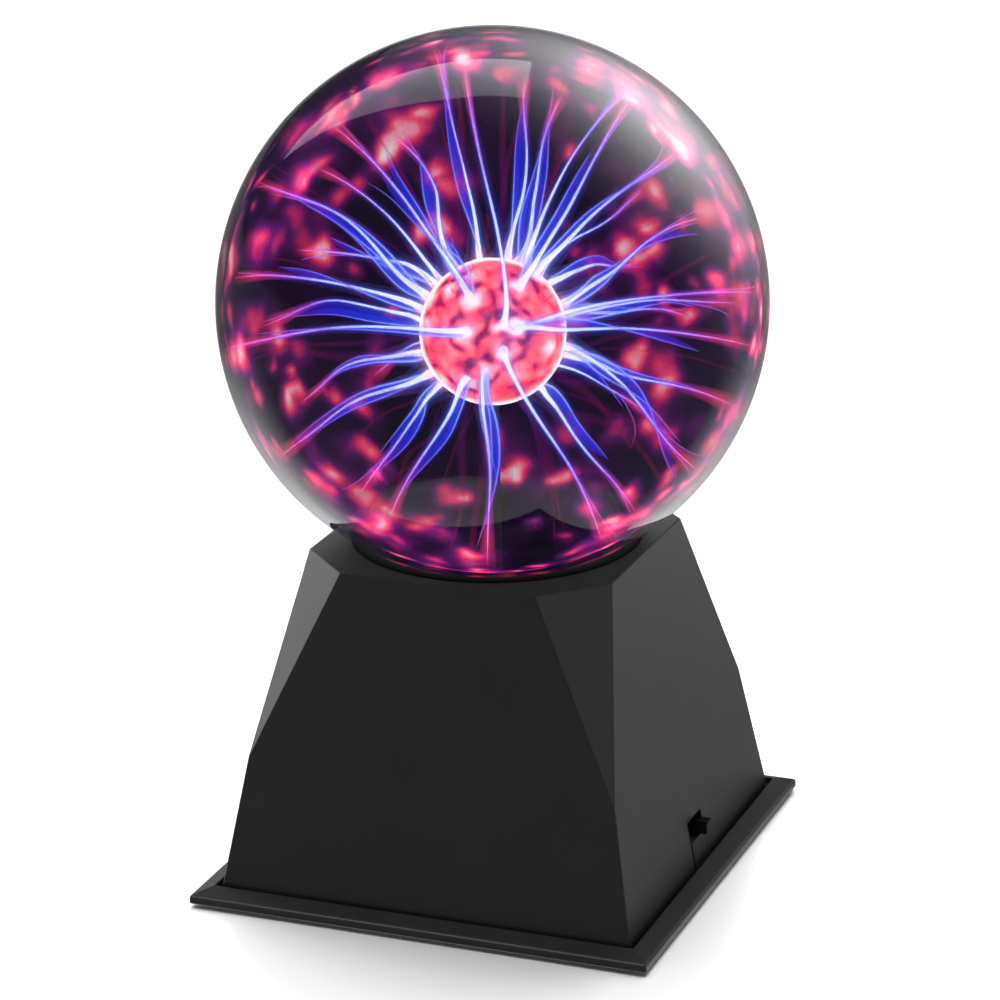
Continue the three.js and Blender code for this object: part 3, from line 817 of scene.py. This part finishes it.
def spots_near(ends_of_strands):
    """Patches on the glass: (direction, size in radians, strength)."""
    found = []
    for end in ends_of_strands:
        found.append((end, rng.uniform(0.03, 0.05), rng.uniform(1.0, 1.8)))
        for _ in range(rng.choice((2, 3, 4, 5))):
            off = Vector([rng.gauss(0, 0.12) for _ in range(3)])
            found.append(((end + off).normalized(), rng.uniform(0.02, 0.05), rng.uniform(0.4, 2.2)))
    for end in even_directions(190):
        off = Vector([rng.gauss(0, 0.16) for _ in range(3)])
        spot = (end + off).normalized()
        if spot.dot(FRONT) < 0.62:
            calm = 0.35 if spot.dot(FRONT) < -0.85 else 1
            found.append((spot, rng.uniform(0.02, 0.055), calm * rng.uniform(0.2, 1.9)))
    return found


def wall_warmth(points):
    """How warm the glass looks at each point, with ragged edges to each patch."""
    spots = spots_near(ends)
    tree = kdtree.KDTree(len(spots))
    for number, spot in enumerate(spots):
        tree.insert(spot[0], number)
    tree.balance()
    for point in points:
        way = (Vector(point) - GLOBE).normalized()
        bent = way + 0.07 * noise.noise_vector(way * 4) + 0.024 * noise.noise_vector(way * 12)
        warmth = 0.045 + 0.07 * noise.noise(way * 3.0)
        for _, number, distance in tree.find_range(bent, 0.2):
            _, size, strength = spots[number]
            away = (distance / size) ** 2
            warmth += strength * (math.exp(-away) + 0.1 * math.exp(-away / 5))
        ragged = 1 + 0.34 * noise.fractal(way * 9, 0.9, 2.1, 4)
        yield 1 - math.exp(-max(0.0, warmth * ragged))


# The globe's glass is near black and half opaque, and its inner face adds a dark film under its glow:
# painted shade that darkens the inside of the globe.
GLASS_OUTER = glass(
    "globe_glass", (0.01, 0.008, 0.012), 0.45, glow=("warmth", WALL_STOPS, 0.55)
)
GLASS_INNER = glowing("globe_inner_glow_and_painted_shade", "warmth", WALL_STOPS, 4.4, 0.4, grain=0.2)


def build_globe():
    neck_inner = NECK_R - GLOBE_WALL
    inside = ball_outline(GLOBE_R - GLOBE_WALL, GLOBE.z, neck_inner, GLOBE_STEPS)[::-1]
    outside = ball_outline(GLOBE_R, GLOBE.z, NECK_R, GLOBE_STEPS)
    lip = [
        (neck_inner, NECK_BOTTOM + 0.3), (neck_inner + 0.3, NECK_BOTTOM),
        (NECK_LIP_R - 0.4, NECK_BOTTOM), (NECK_LIP_R, NECK_BOTTOM + 0.4),
        (NECK_LIP_R, NECK_BOTTOM + 1.3), (NECK_R + 0.3, NECK_BOTTOM + 1.8),
        (NECK_R, NECK_BOTTOM + 2.4),
    ]
    part = revolve([*inside, *lip, *outside], GLOBE_SIDES)
    inner_faces = (len(inside) - 1) * GLOBE_SIDES
    slots = [1] * inner_faces + [0] * (len(part[1]) - inner_faces)
    obj = new_object("glass_globe_fine", [part], [GLASS_OUTER, GLASS_INNER], 180, slots)
    store(obj, "warmth", list(wall_warmth(part[0])))
    hide_from_lighting(obj)
    stands_for(obj, "glass_globe", "clear_glass")
    return obj


globe = build_globe()

# ---- Stem and electrode ------------------------------------------------------------------

STEM_GLASS = glass("stem_glass", (0.02, 0.02, 0.03), 0.05)
# The electrode's edge is painted pinkish white as it turns edge on: a painted sheen.
ELECTRODE_PAINTED_SHEEN = (0.64, 0.82, (1.0, 0.8, 0.9))
ELECTRODE_GLOW = glowing(
    "electrode_glow", "warmth", ELECTRODE_STOPS, 3.9, 1.0, 0.1, ELECTRODE_PAINTED_SHEEN
)


def build_stem():
    flare_r = NECK_R - GLOBE_WALL - 0.3
    low = NECK_BOTTOM + 1
    top = ELECTRODE.z - math.sqrt(ELECTRODE_R**2 - STEM_R**2) - 0.6
    wall = 1.0
    outer = [
        (flare_r - 0.2, low), (flare_r, low + 0.3), (flare_r, low + 1.2),
        (flare_r - 1.6, low + 2.3), (STEM_R + 4.4, low + 4.0), (STEM_R + 2.0, low + 6.8),
        (STEM_R + 0.8, low + 9.4), (STEM_R + 0.2, low + 12), (STEM_R, low + 15),
        (STEM_R, top - 0.2), (STEM_R - 0.2, top),
    ]
    inner = [(r - wall, z - (0.4 if z < low + 12 else 0)) for r, z in outer[1:-1]][::-1]
    inner = [(r, max(z, low)) for r, z in inner]
    obj = new_object("stem_tube_fine", [revolve([*outer, *inner], loop=True)], [STEM_GLASS], 180)
    stands_for(obj, "stem_tube", "clear_glass")


def electrode_glow_and_shade(way, root_ways):
    """Hot where a strand is rooted, with painted shade in a dark ring round most of each root."""
    bent = way + 0.1 * noise.noise_vector(way * 4.5)
    warmth = 0.5 + 0.22 * noise.fractal(way * 2.6, 0.8, 2.2, 5)
    for root, strength in root_ways:
        away = (bent - root).length * ELECTRODE_R
        if away < 8:
            # Painted shade: a dark ring just outside each root's bright knob.
            shade_ring = 0.24 * max(0, 0.35 + noise.noise(way * 5 + root * 9))
            warmth += strength * 0.3 * math.exp(-((away / 2.5) ** 4))
            warmth += strength * 0.25 * math.exp(-((away / 1.3) ** 2))
            warmth -= strength * 2.2 * shade_ring * math.exp(-(((away - 3.7) / 0.9) ** 2))
    return min(1.0, max(0.05, warmth))


def build_electrode():
    root_ways = [(root, 1.0) for root in roots]
    for way in even_directions(60):
        off = Vector([rng.gauss(0, 0.12) for _ in range(3)])
        way = (way + off).normalized()
        if apart(way, [r for r, _ in root_ways], 17):
            root_ways.append((way, rng.uniform(0.2, 0.7)))
    inside = ball_outline(ELECTRODE_R - 1, ELECTRODE.z, STEM_R - 1, 24)[::-1]
    outside = ball_outline(ELECTRODE_R, ELECTRODE.z, STEM_R, 140)
    profile = [*inside, (STEM_R - 1, outside[0][1]), *outside]
    vertices, faces = revolve(profile, ELECTRODE_SIDES)
    levels, shaped = [], []
    for vertex in vertices:
        offset = Vector(vertex) - ELECTRODE
        level = electrode_glow_and_shade(offset.normalized(), root_ways)
        levels.append(level)
        if offset.length > ELECTRODE_R - 0.2:
            offset *= 1 + 0.008 * (level - 0.5)
        shaped.append(ELECTRODE + offset)
    obj = new_object("electrode_bulb_fine", [(shaped, faces)], [ELECTRODE_GLOW], 180)
    store(obj, "warmth", levels)
    hide_from_lighting(obj)
    stands_for(obj, "electrode_bulb", "glowing_glass")


build_stem()
build_electrode()

# ---- Faceted base ------------------------------------------------------------------------


def faceted(inset, z0, z1):
    """The corner points of the base's form, shrunk by a wall, as one convex part."""
    face_in = inset * math.hypot(1, FACE_LEAN)
    facet_in = inset * math.hypot(1, FACET_LEAN)

    def half(z):
        return face_half(z) - face_in

    def facet(z):
        return (FACET_TOP + FACET_LEAN * (BASE_TOP - z) - facet_in) * math.sqrt(2)

    def gap(z):
        return 2 * half(z) - facet(z)

    foot = z1 - (z1 - z0) * gap(z1) / (gap(z1) - gap(z0))
    points = []
    for sx, sy in CORNERS.values():
        points += [(sx * half(z), sy * half(z), z) for z in (z0, foot)]
        long, short = half(z1), facet(z1) - half(z1)
        points += [(sx * long, sy * short, z1), (sx * short, sy * long, z1)]
    return hull(points)


def hull(points):
    """The convex part round the given points, with its flat faces whole."""
    bm = bmesh.new()
    for point in points:
        bm.verts.new(point)
    made = bmesh.ops.convex_hull(bm, input=bm.verts)
    inside = [g for g in made["geom_interior"] if isinstance(g, bmesh.types.BMVert)]
    bmesh.ops.delete(bm, geom=inside, context="VERTS")
    bmesh.ops.dissolve_limit(bm, angle_limit=math.radians(0.5), verts=bm.verts, edges=bm.edges)
    bmesh.ops.recalc_face_normals(bm, faces=bm.faces)
    bm.verts.index_update()
    part = [tuple(v.co) for v in bm.verts], [[v.index for v in f.verts] for f in bm.faces]
    bm.free()
    return part


def softened(part, radius):
    """A convex part grown by a radius, so that its edges and corners are rounded by it."""
    ball = revolve(ball_outline(radius, 0, 1e-7, 8), 16)[0]
    return hull([Vector(corner) + Vector(p) for corner in part[0] for p in ball])


INLET_FRAME = Matrix.Translation((0, face_half(INLET_Z), INLET_Z)) @ Matrix.Rotation(
    math.atan(FACE_LEAN) - math.pi / 2, 4, "X"
)


def screw_post(sx, sy):
    """A post that ends inside the wall of the leaning corner facet above it."""
    low, high = [], []
    for i in range(24):
        turn = 2 * math.pi * i / 24
        x = sx * SCREW_AT + SCREW_POST_R * math.cos(turn)
        y = sy * SCREW_AT + SCREW_POST_R * math.sin(turn)
        out = (sx * x + sy * y) / math.sqrt(2) + WALL / 2
        low.append((x, y, BASE_BOTTOM))
        high.append((x, y, BASE_TOP - (out - FACET_TOP) / FACET_LEAN))
    return lofted([low, high])


def build_base():
    core = faceted(EDGE_ROUND, BASE_BOTTOM + EDGE_ROUND, BASE_TOP - EDGE_ROUND)
    obj = new_object("base_shell_fine", [softened(core, EDGE_ROUND)], [BASE_PLASTIC])
    carved(obj, [faceted(WALL, BASE_BOTTOM - 1, BASE_TOP - TOP_WALL)])
    posts = [screw_post(sx, sy) for sx, sy in CORNERS.values()]
    clamp_posts = [
        rod(CLAMP_POST_R, CLAMP_POST_R, CLAMP_POST_BOTTOM, BASE_TOP - 1, sx * CLAMP_AT, sy * CLAMP_AT, 24)
        for sx, sy in CORNERS.values()
    ]
    carved(obj, [*posts, *clamp_posts], "UNION")
    seat = revolve(ball_outline(GLOBE_R + SEAT_GAP, GLOBE.z, 1e-7, 96), 128)
    carved(obj, [seat])
    notch = block(40, 60, -NOTCH_HALF, NOTCH_HALF, BASE_BOTTOM - 1, NOTCH_TOP)
    inlet = moved(rod(INLET_HOLE_R, INLET_HOLE_R, -8, 8), INLET_FRAME)
    pilots = []
    for sx, sy in CORNERS.values():
        pilots.append(rod(PILOT_R, PILOT_R, 0, 18, sx * SCREW_AT, sy * SCREW_AT, 24))
        pilots.append(rod(PILOT_R, PILOT_R, 50, 74, sx * CLAMP_AT, sy * CLAMP_AT, 24))
    carved(obj, [notch, inlet, *pilots])
    flat_faced(obj)
    stands_for(obj, "base_shell", "base_plastic")
    return obj


def build_seat_ring():
    z0 = BASE_TOP + 0.05
    low, high = (math.sqrt((GLOBE_R + 0.3) ** 2 - (GLOBE.z - z) ** 2) for z in (z0, z0 + 1))
    profile = [
        (low + 0.05, z0), (low + 2.9, z0), (low + 3.0, z0 + 0.15), (low + 2.85, z0 + 0.6),
        (low + 2.6, z0 + 0.8), (high + 0.6, z0 + 1.0), (high + 0.25, z0 + 0.95),
    ]
    obj = new_object("seat_ring_fine", [revolve(profile, 160, loop=True)], [RUBBER], 50)
    stands_for(obj, "seat_ring", "black_rubber")


base = build_base()
build_seat_ring()

# ---- Plinth, feet and screws -------------------------------------------------------------


def square_ring(half, z, radius, steps=6):
    """Points round a square with rounded corners."""
    points = []
    inner = half - radius
    for quarter, (sx, sy) in enumerate(((1, 1), (-1, 1), (-1, -1), (1, -1))):
        for k in range(steps + 1):
            a = math.radians(90 * quarter + 90 * k / steps)
            points.append((sx * inner + radius * math.cos(a), sy * inner + radius * math.sin(a), z))
    return points


def switch_tab():
    """The part of the plinth that closes the switch's notch from below."""
    y0, y1 = 0.8 - NOTCH_HALF, NOTCH_HALF - 0.08
    rings = []
    for z in (2.3, 3.5, TAB_TOP):
        x1 = face_half(z)
        x0 = x1 - WALL
        rings.append([(x0, y0, z), (x1, y0, z), (x1, y1, z), (x0, y1, z)])
    return lofted(rings)


def build_plinth():
    rings = [square_ring(half, z, PLINTH_CORNER_R) for half, z in PLINTH_PROFILE]
    obj = new_object("plinth_fine", [lofted(rings)], [BASE_PLASTIC])
    posts = [
        rod(3.2, 2.8, 2, 7.95, BOARD_X + sx * BOARD_POST_X, sy * BOARD_POST_Y, 24)
        for sx, sy in CORNERS.values()
    ]
    switch_posts = [
        block(36.9, 41.9, y - SWITCH_POST_HALF, y + SWITCH_POST_HALF, 2, 14)
        for y in (-SWITCH_POST_Y, SWITCH_POST_Y)
    ]
    carved(obj, [switch_tab(), *posts, *switch_posts], "UNION")
    holes = [
        rod(5.3, 5.3, 0, 1.4, sx * FOOT_AT, sy * FOOT_AT) for sx, sy in CORNERS.values()
    ]
    for sx, sy in CORNERS.values():
        holes.append(rod(1.7, 1.7, 2, 4, sx * SCREW_AT, sy * SCREW_AT))
        holes.append(rod(3.5, 1.7, 0.75, 2.4, sx * SCREW_AT, sy * SCREW_AT))
    carved(obj, holes)
    flat_faced(obj)
    stands_for(obj, "plinth", "base_plastic")
    return obj


def build_feet():
    profile = [
        (0, 0.25), (3.2, 0.25), (3.4, 0.0), (4.3, 0.0), (4.55, 0.12), (4.85, 0.95), (4.95, 1.2),
        (0, 1.2),
    ]
    for name, (sx, sy) in CORNERS.items():
        place = Matrix.Translation((sx * FOOT_AT, sy * FOOT_AT, 0))
        obj = new_object(f"foot_{name}_fine", [moved(revolve(profile), place)], [RUBBER], 50)
        stands_for(obj, f"foot_{name}", "black_rubber")


def build_plinth_screws():
    """Countersunk screws with cross recesses, heads down."""
    profile = [
        (0, 0.95), (2.7, 0.95), (2.9, 1.05), (2.9, 1.15), (1.25, 2.6), (1.25, 13.4), (0.3, 14.9),
        (0, 14.9),
    ]
    for name, (sx, sy) in CORNERS.items():
        x, y = sx * SCREW_AT, sy * SCREW_AT
        place = Matrix.Translation((x, y, 0))
        part = moved(revolve(profile, 40), place)
        obj = new_object(f"plinth_screw_{name}_fine", [part], [ZINC], 30)
        arms = [
            block(x - 1.6, x + 1.6, y - 0.32, y + 0.32, 0.5, 1.75),
            block(x - 0.32, x + 0.32, y - 1.6, y + 1.6, 0.5, 1.75),
        ]
        for arm in arms:
            carved(obj, [arm], smooth=30)
        stands_for(obj, f"plinth_screw_{name}", "steel_zinc")


plinth = build_plinth()
build_feet()
build_plinth_screws()

# ---- Switch knob and power inlet ----------------------------------------------------------


def build_knob():
    y0, y1 = KNOB_Y - CARRIER_HALF_Y, KNOB_Y + CARRIER_HALF_Y
    carrier = block(39.0, 42.1, y0, y1, SWITCH_Z - CARRIER_HALF_Z, SWITCH_Z + CARRIER_HALF_Z)
    obj = new_object("switch_knob_fine", [carrier], [KNOB_PLASTIC])
    y0, y1 = KNOB_Y - KNOB_HALF_Y, KNOB_Y + KNOB_HALF_Y
    stalk = block(41.9, KNOB_TIP, y0, y1, SWITCH_Z - KNOB_HALF_Z, SWITCH_Z + KNOB_HALF_Z)
    carved(obj, [stalk], "UNION")
    rounded(obj, 0.25, 3)
    flat_faced(obj)
    stands_for(obj, "switch_knob", "dark_plastic", "switch_slider")


def build_inlet():
    """The barrel jack, turned about the axis that leaves the back face."""
    body = [
        (1.4, -INLET_DEPTH - 2), (3.9, -INLET_DEPTH - 2), (3.9, 0.3), (5.4, 0.3), (5.6, 0.5),
        (5.6, 1.5), (5.3, 1.8), (3.4, 1.8), (3.1, 1.55), (3.1, -INLET_DEPTH), (1.4, -INLET_DEPTH),
    ]
    pin = [
        (0, -INLET_DEPTH - 3.5), (1.05, -INLET_DEPTH - 3.5), (1.05, -1.6), (0.75, -1.2),
        (0.45, -1.2), (0.4, -2.4), (0, -2.4),
    ]
    for name, profile, loop, material, slot in (
        ("inlet_body", body, True, DARK_PLASTIC, "dark_plastic"),
        ("inlet_pin", pin, False, BARE_METAL, "bare_metal"),
    ):
        part = moved(revolve(profile, loop=loop), INLET_FRAME)
        obj = new_object(f"{name}_fine", [part], [material], 40)
        stands_for(obj, name, slot)


build_knob()
build_inlet()

# ---- Looks of the CAD parts that stay ------------------------------------------------------

CAD_LOOKS = (  # material, slot, and how the nodes' names start
    (STEM_GLASS, "clear_glass", ("exhaust_tip",)),
    (BARE_METAL, "bare_metal", ("electrode_lining", "heat_sink", "microphone")),
    (BLACKED_STEEL, "bare_metal", ("contact_rod",)),
    (BLACKED_STEEL, "steel_zinc", ("switch_can",)),
    (ZINC, "steel_zinc", ("clamp_screw", "board_screw", "switch_screw", "inlet_nut")),
    (RUBBER, "black_rubber", ("neck_washer",)),
    (DARK_PLASTIC, "dark_plastic", ("neck_clamp", "power_transistor", "timer_chip")),
    (DARK_PLASTIC, "dark_plastic", ("inlet_lead_negative", "switch_lead")),
    (SLEEVE, "dark_plastic", ("supply_capacitor", "timing_capacitor")),
    (BOARD, "board_green", ("circuit_board",)),
    (FERRITE, "ferrite", ("flyback_core",)),
    (CREAM, "cream_plastic", ("flyback_former", "inlet_header", "switch_header")),
    (CREAM, "cream_plastic", ("high_voltage_lead",)),
    (COPPER, "copper_brown", ("primary_winding", "secondary_winding", "switch_base")),
    (RED, "red_insulation", ("film_capacitor", "inlet_lead_positive")),
)


def dress_cad_nodes():
    for name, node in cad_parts.items():
        for material, slot, starts in CAD_LOOKS:
            if name.startswith(starts):
                node.data.materials.clear()
                node.data.materials.append(material)
                shade(node, 30)


dress_cad_nodes()

# ---- Studio ------------------------------------------------------------------------------

AIM = Vector((0, 0, 80.1))
CAMERA_AZIMUTH = -68.27
CAMERA_ELEVATION = 19.12
CAMERA_DISTANCE = 878.9
CAMERA_PITCH = 0.28
CAMERA_ROLL = -1.044
CAMERA_SHIFT = 0.0036
LENS = 140.85
FLOOR_R = 200
OVERHEAD_POWER = 25.5
# Directions along the camera's right, its up and back towards it.
BACK_PANEL = (0.58, 0.72, -0.38)
# The crescent runs round the view, in degrees leftwards from straight up. Near is how far its
# directions point towards the camera: at its left tip, and where its edges level out.
CRESCENT_LEFT = 54
CRESCENT_RIGHT = -9
CRESCENT_TIP_NEAR = -0.55
CRESCENT_TOP_NEAR = -0.4
CRESCENT_FOOT_NEAR = 0.03
CRESCENT_BEND = 1.3
CRESCENT_COLUMNS = 16
CRESCENT_ROWS = 4


def build_camera():
    data = bpy.data.cameras.new("camera")
    data.lens = LENS
    data.sensor_width = 36
    data.shift_x = CAMERA_SHIFT
    data.clip_start, data.clip_end = 0.01, 10
    camera = bpy.data.objects.new("camera", data)
    scene.collection.objects.link(camera)
    back = direction(CAMERA_AZIMUTH, CAMERA_ELEVATION)
    turn = (-back).to_track_quat("-Z", "Y").to_matrix().to_4x4()
    tilt = Matrix.Rotation(math.radians(CAMERA_ROLL), 4, "Z")
    tilt = tilt @ Matrix.Rotation(math.radians(CAMERA_PITCH), 4, "X")
    place = Matrix.Translation((AIM + back * CAMERA_DISTANCE) * MM)
    camera.matrix_world = place @ turn @ tilt
    scene.camera = camera
    return camera


def from_camera(camera, right, up, near):
    """A direction given along the camera's right, its up and back towards it."""
    return (camera.matrix_world.to_3x3() @ Vector((right, up, near))).normalized()


def build_floor():
    material = bpy.data.materials.new("floor")
    nodes = Nodes(material)
    shader = principled(
        nodes,
        {
            "Base Color": (0.86, 0.86, 0.86, 1),
            "Roughness": 0.25,
            "Specular IOR Level": 0.5,
        },
    )
    nodes.finish(shader)
    floor = new_object("floor", [rod(FLOOR_R, FLOOR_R, -0.1, 0, sides=160)], [material])
    floor.visible_glossy = False
    return floor


def overhead(power, size, place):
    data = bpy.data.lights.new("overhead", "AREA")
    data.energy, data.size = power, size
    light = bpy.data.objects.new("overhead", data)
    light.location = place
    light.rotation_euler = Vector(place).to_track_quat("Z", "Y").to_euler()
    scene.collection.objects.link(light)
    light.visible_camera = light.visible_glossy = False


def panel(name, rows, glow, strength, distance, lit):
    """A glowing sheet through rows of directions from the globe, as bright as glow says.

    It lights only the objects listed last, and is clear to all else.
    """
    columns = len(rows[0])
    points = [GLOBE + way * distance for row in rows for way in row]
    faces = []
    for r in range(len(rows) - 1):
        for c in range(columns - 1):
            k = r * columns + c
            faces.append([k, k + 1, k + columns + 1, k + columns])
    material = bpy.data.materials.new(name)
    if globe in lit:
        material.cycles.emission_sampling = "NONE"
    nodes = Nodes(material)
    level = nodes.add("ShaderNodeAttribute", attribute_name="level").outputs["Fac"]
    lamp = nodes.add("ShaderNodeEmission", {"Strength": nodes.product(level, strength)})
    clear = nodes.add("ShaderNodeBsdfTransparent")
    both = nodes.add("ShaderNodeAddShader", {0: lamp.outputs[0], 1: clear.outputs[0]})
    nodes.finish(both)
    obj = new_object(name, [(points, faces)], [material], 180)
    store(obj, "level", [value for row in glow for value in row])
    obj.visible_camera = False
    receivers = bpy.data.collections.new(f"lit by {name}")
    for receiver in lit:
        receivers.objects.link(receiver)
    obj.light_linking.receiver_collection = receivers


def crescent_edge(camera, level_near, easing):
    """Directions along one edge of the crescent, from its left tip to its right end."""
    ways = []
    for c in range(CRESCENT_COLUMNS + 1):
        share = c / CRESCENT_COLUMNS
        turn = math.radians(CRESCENT_LEFT + (CRESCENT_RIGHT - CRESCENT_LEFT) * share)
        rise = math.sin(math.pi / 2 * min(1, CRESCENT_BEND * share)) ** easing
        near = CRESCENT_TIP_NEAR + (level_near - CRESCENT_TIP_NEAR) * rise
        out = math.sqrt(1 - near * near)
        ways.append(from_camera(camera, -out * math.sin(turn), out * math.cos(turn), near))
    return ways


def crescent_panel(camera):
    """A long curved softbox up and to the left, which the globe mirrors as a crescent."""
    upper = crescent_edge(camera, CRESCENT_TOP_NEAR, 2)
    lower = crescent_edge(camera, CRESCENT_FOOT_NEAR, 1)
    rows, glow = [], []
    for k in range(CRESCENT_ROWS + 1):
        rows.append([a.lerp(b, k / CRESCENT_ROWS).normalized() for a, b in zip(upper, lower)])
        shares = [c / CRESCENT_COLUMNS for c in range(CRESCENT_COLUMNS + 1)]
        glow.append([(1 - 0.1 * k) * (0.55 + 0.45 * share) for share in shares])
    panel("softbox_crescent", rows, glow, 5.5, 1000, [globe])


def round_panel(name, centre, degrees, softness, strength, lit, distance=1250):
    """A round panel that fades out from its centre over an angle."""
    turn = Vector(centre).to_track_quat("Z", "Y").to_matrix()
    rows, glow = [], []
    for k in range(13):
        away = degrees * k / 12
        rows.append([turn @ direction(15 * c, 90 - away) for c in range(25)])
        glow.append([math.exp(-((away / softness) ** 2))] * 25)
    panel(name, rows, glow, strength, distance, lit)


def build_flag():
    """A dark lining that only reflections meet, so that the far glass doesn't mirror lamps."""
    material = bpy.data.materials.new("flag")
    nodes = Nodes(material)
    inputs = {"Base Color": (0, 0, 0, 1), "Specular IOR Level": 0.0, "Roughness": 1.0}
    nodes.finish(principled(nodes, inputs))
    outline = ball_outline(GLOBE_R - 0.3, GLOBE.z, 1e-7, 90)
    obj = new_object("flag", [revolve(outline, GLOBE_SIDES)], [material], 180)
    obj.visible_camera = obj.visible_diffuse = obj.visible_shadow = False
    obj.visible_transmission = False


def build_lights(camera, floor):
    overhead(OVERHEAD_POWER, 1.2, (-0.2, 0.4, 1.25))
    crescent_panel(camera)
    round_panel("softbox_back", from_camera(camera, *BACK_PANEL), 56, 27, 12, [globe])
    stand = [base, plinth]
    round_panel("softbox_left", (-0.96, 0.27, 0.07), 34, 40, 1.8, stand)
    round_panel("softbox_right", (0.84, -0.31, 0.44), 30, 22, 1.05, stand)
    round_panel("softbox_front", (-0.35, -0.93, 0.2), 36, 30, 0.34, stand)
    round_panel("softbox_top", (-0.37, 0.87, 0.3), 24, 20, 0.8, stand)
    round_panel("softbox_edge", (-0.35, -0.65, 0.67), 12, 10, 12, [plinth])
    round_panel("card_behind", (0.53, 0.83, -0.1), 24, 16, 1.1, stand, 320)
    round_panel("backdrop_glow", (-0.35, 0.88, 0.32), 65, 90, 2.2, [floor])


def build_world():
    """White behind the object, painted shade through its glass, and dim light from all round."""
    world = bpy.data.worlds.new("studio")
    scene.world = world
    nodes = Nodes(world)
    rays = nodes.add("ShaderNodeLightPath").outputs
    through = nodes.add(
        "ShaderNodeMath", {0: rays["Transparent Depth"], 1: 0.5}, operation="GREATER_THAN"
    ).outputs[0]
    # Painted shade: rays that have passed through the glass see a dark backdrop, so the globe looks dark
    # inside.
    seen = nodes.add(
        "ShaderNodeMix",
        {"Factor": through, "A": (1.1, 1.1, 1.1, 1), "B": (0.02, 0.019, 0.028, 1)},
        data_type="RGBA",
    ).outputs["Result"]
    way = nodes.add("ShaderNodeTexCoord").outputs["Generated"]
    height = nodes.add("ShaderNodeSeparateXYZ", {"Vector": way}).outputs["Z"]
    back = nodes.add("ShaderNodeVectorMath", {0: way, 1: (-0.37, 0.93, 0)}, operation="DOT_PRODUCT")
    back = back.outputs["Value"]
    table = nodes.between(height, 0.02, -0.02, 0, 1)
    table = nodes.product(table, nodes.between(back, -0.6, 0.8, 0.08, 0.25))
    low = nodes.product(
        nodes.between(height, -0.3, -0.6, 0, 3), nodes.between(height, -0.85, -0.72, 0, 1)
    )
    low = nodes.product(low, nodes.between(back, 0.3, 0.7, 0, 1))
    foot = nodes.between(height, -0.84, -0.9, 0.05, 1.1)
    dim = nodes.total(nodes.total(table, low), foot)
    final = nodes.add(
        "ShaderNodeMix", {"Factor": rays["Is Camera Ray"], "A": dim, "B": seen}, data_type="RGBA"
    ).outputs["Result"]
    nodes.finish(nodes.add("ShaderNodeBackground", {"Color": final}), "ShaderNodeOutputWorld")


build_flag()
build_lights(build_camera(), build_floor())
build_world()
scene.view_settings.view_transform = "Standard"
scene.cycles.transparent_max_bounces = 128
scene.cycles.max_bounces = 6
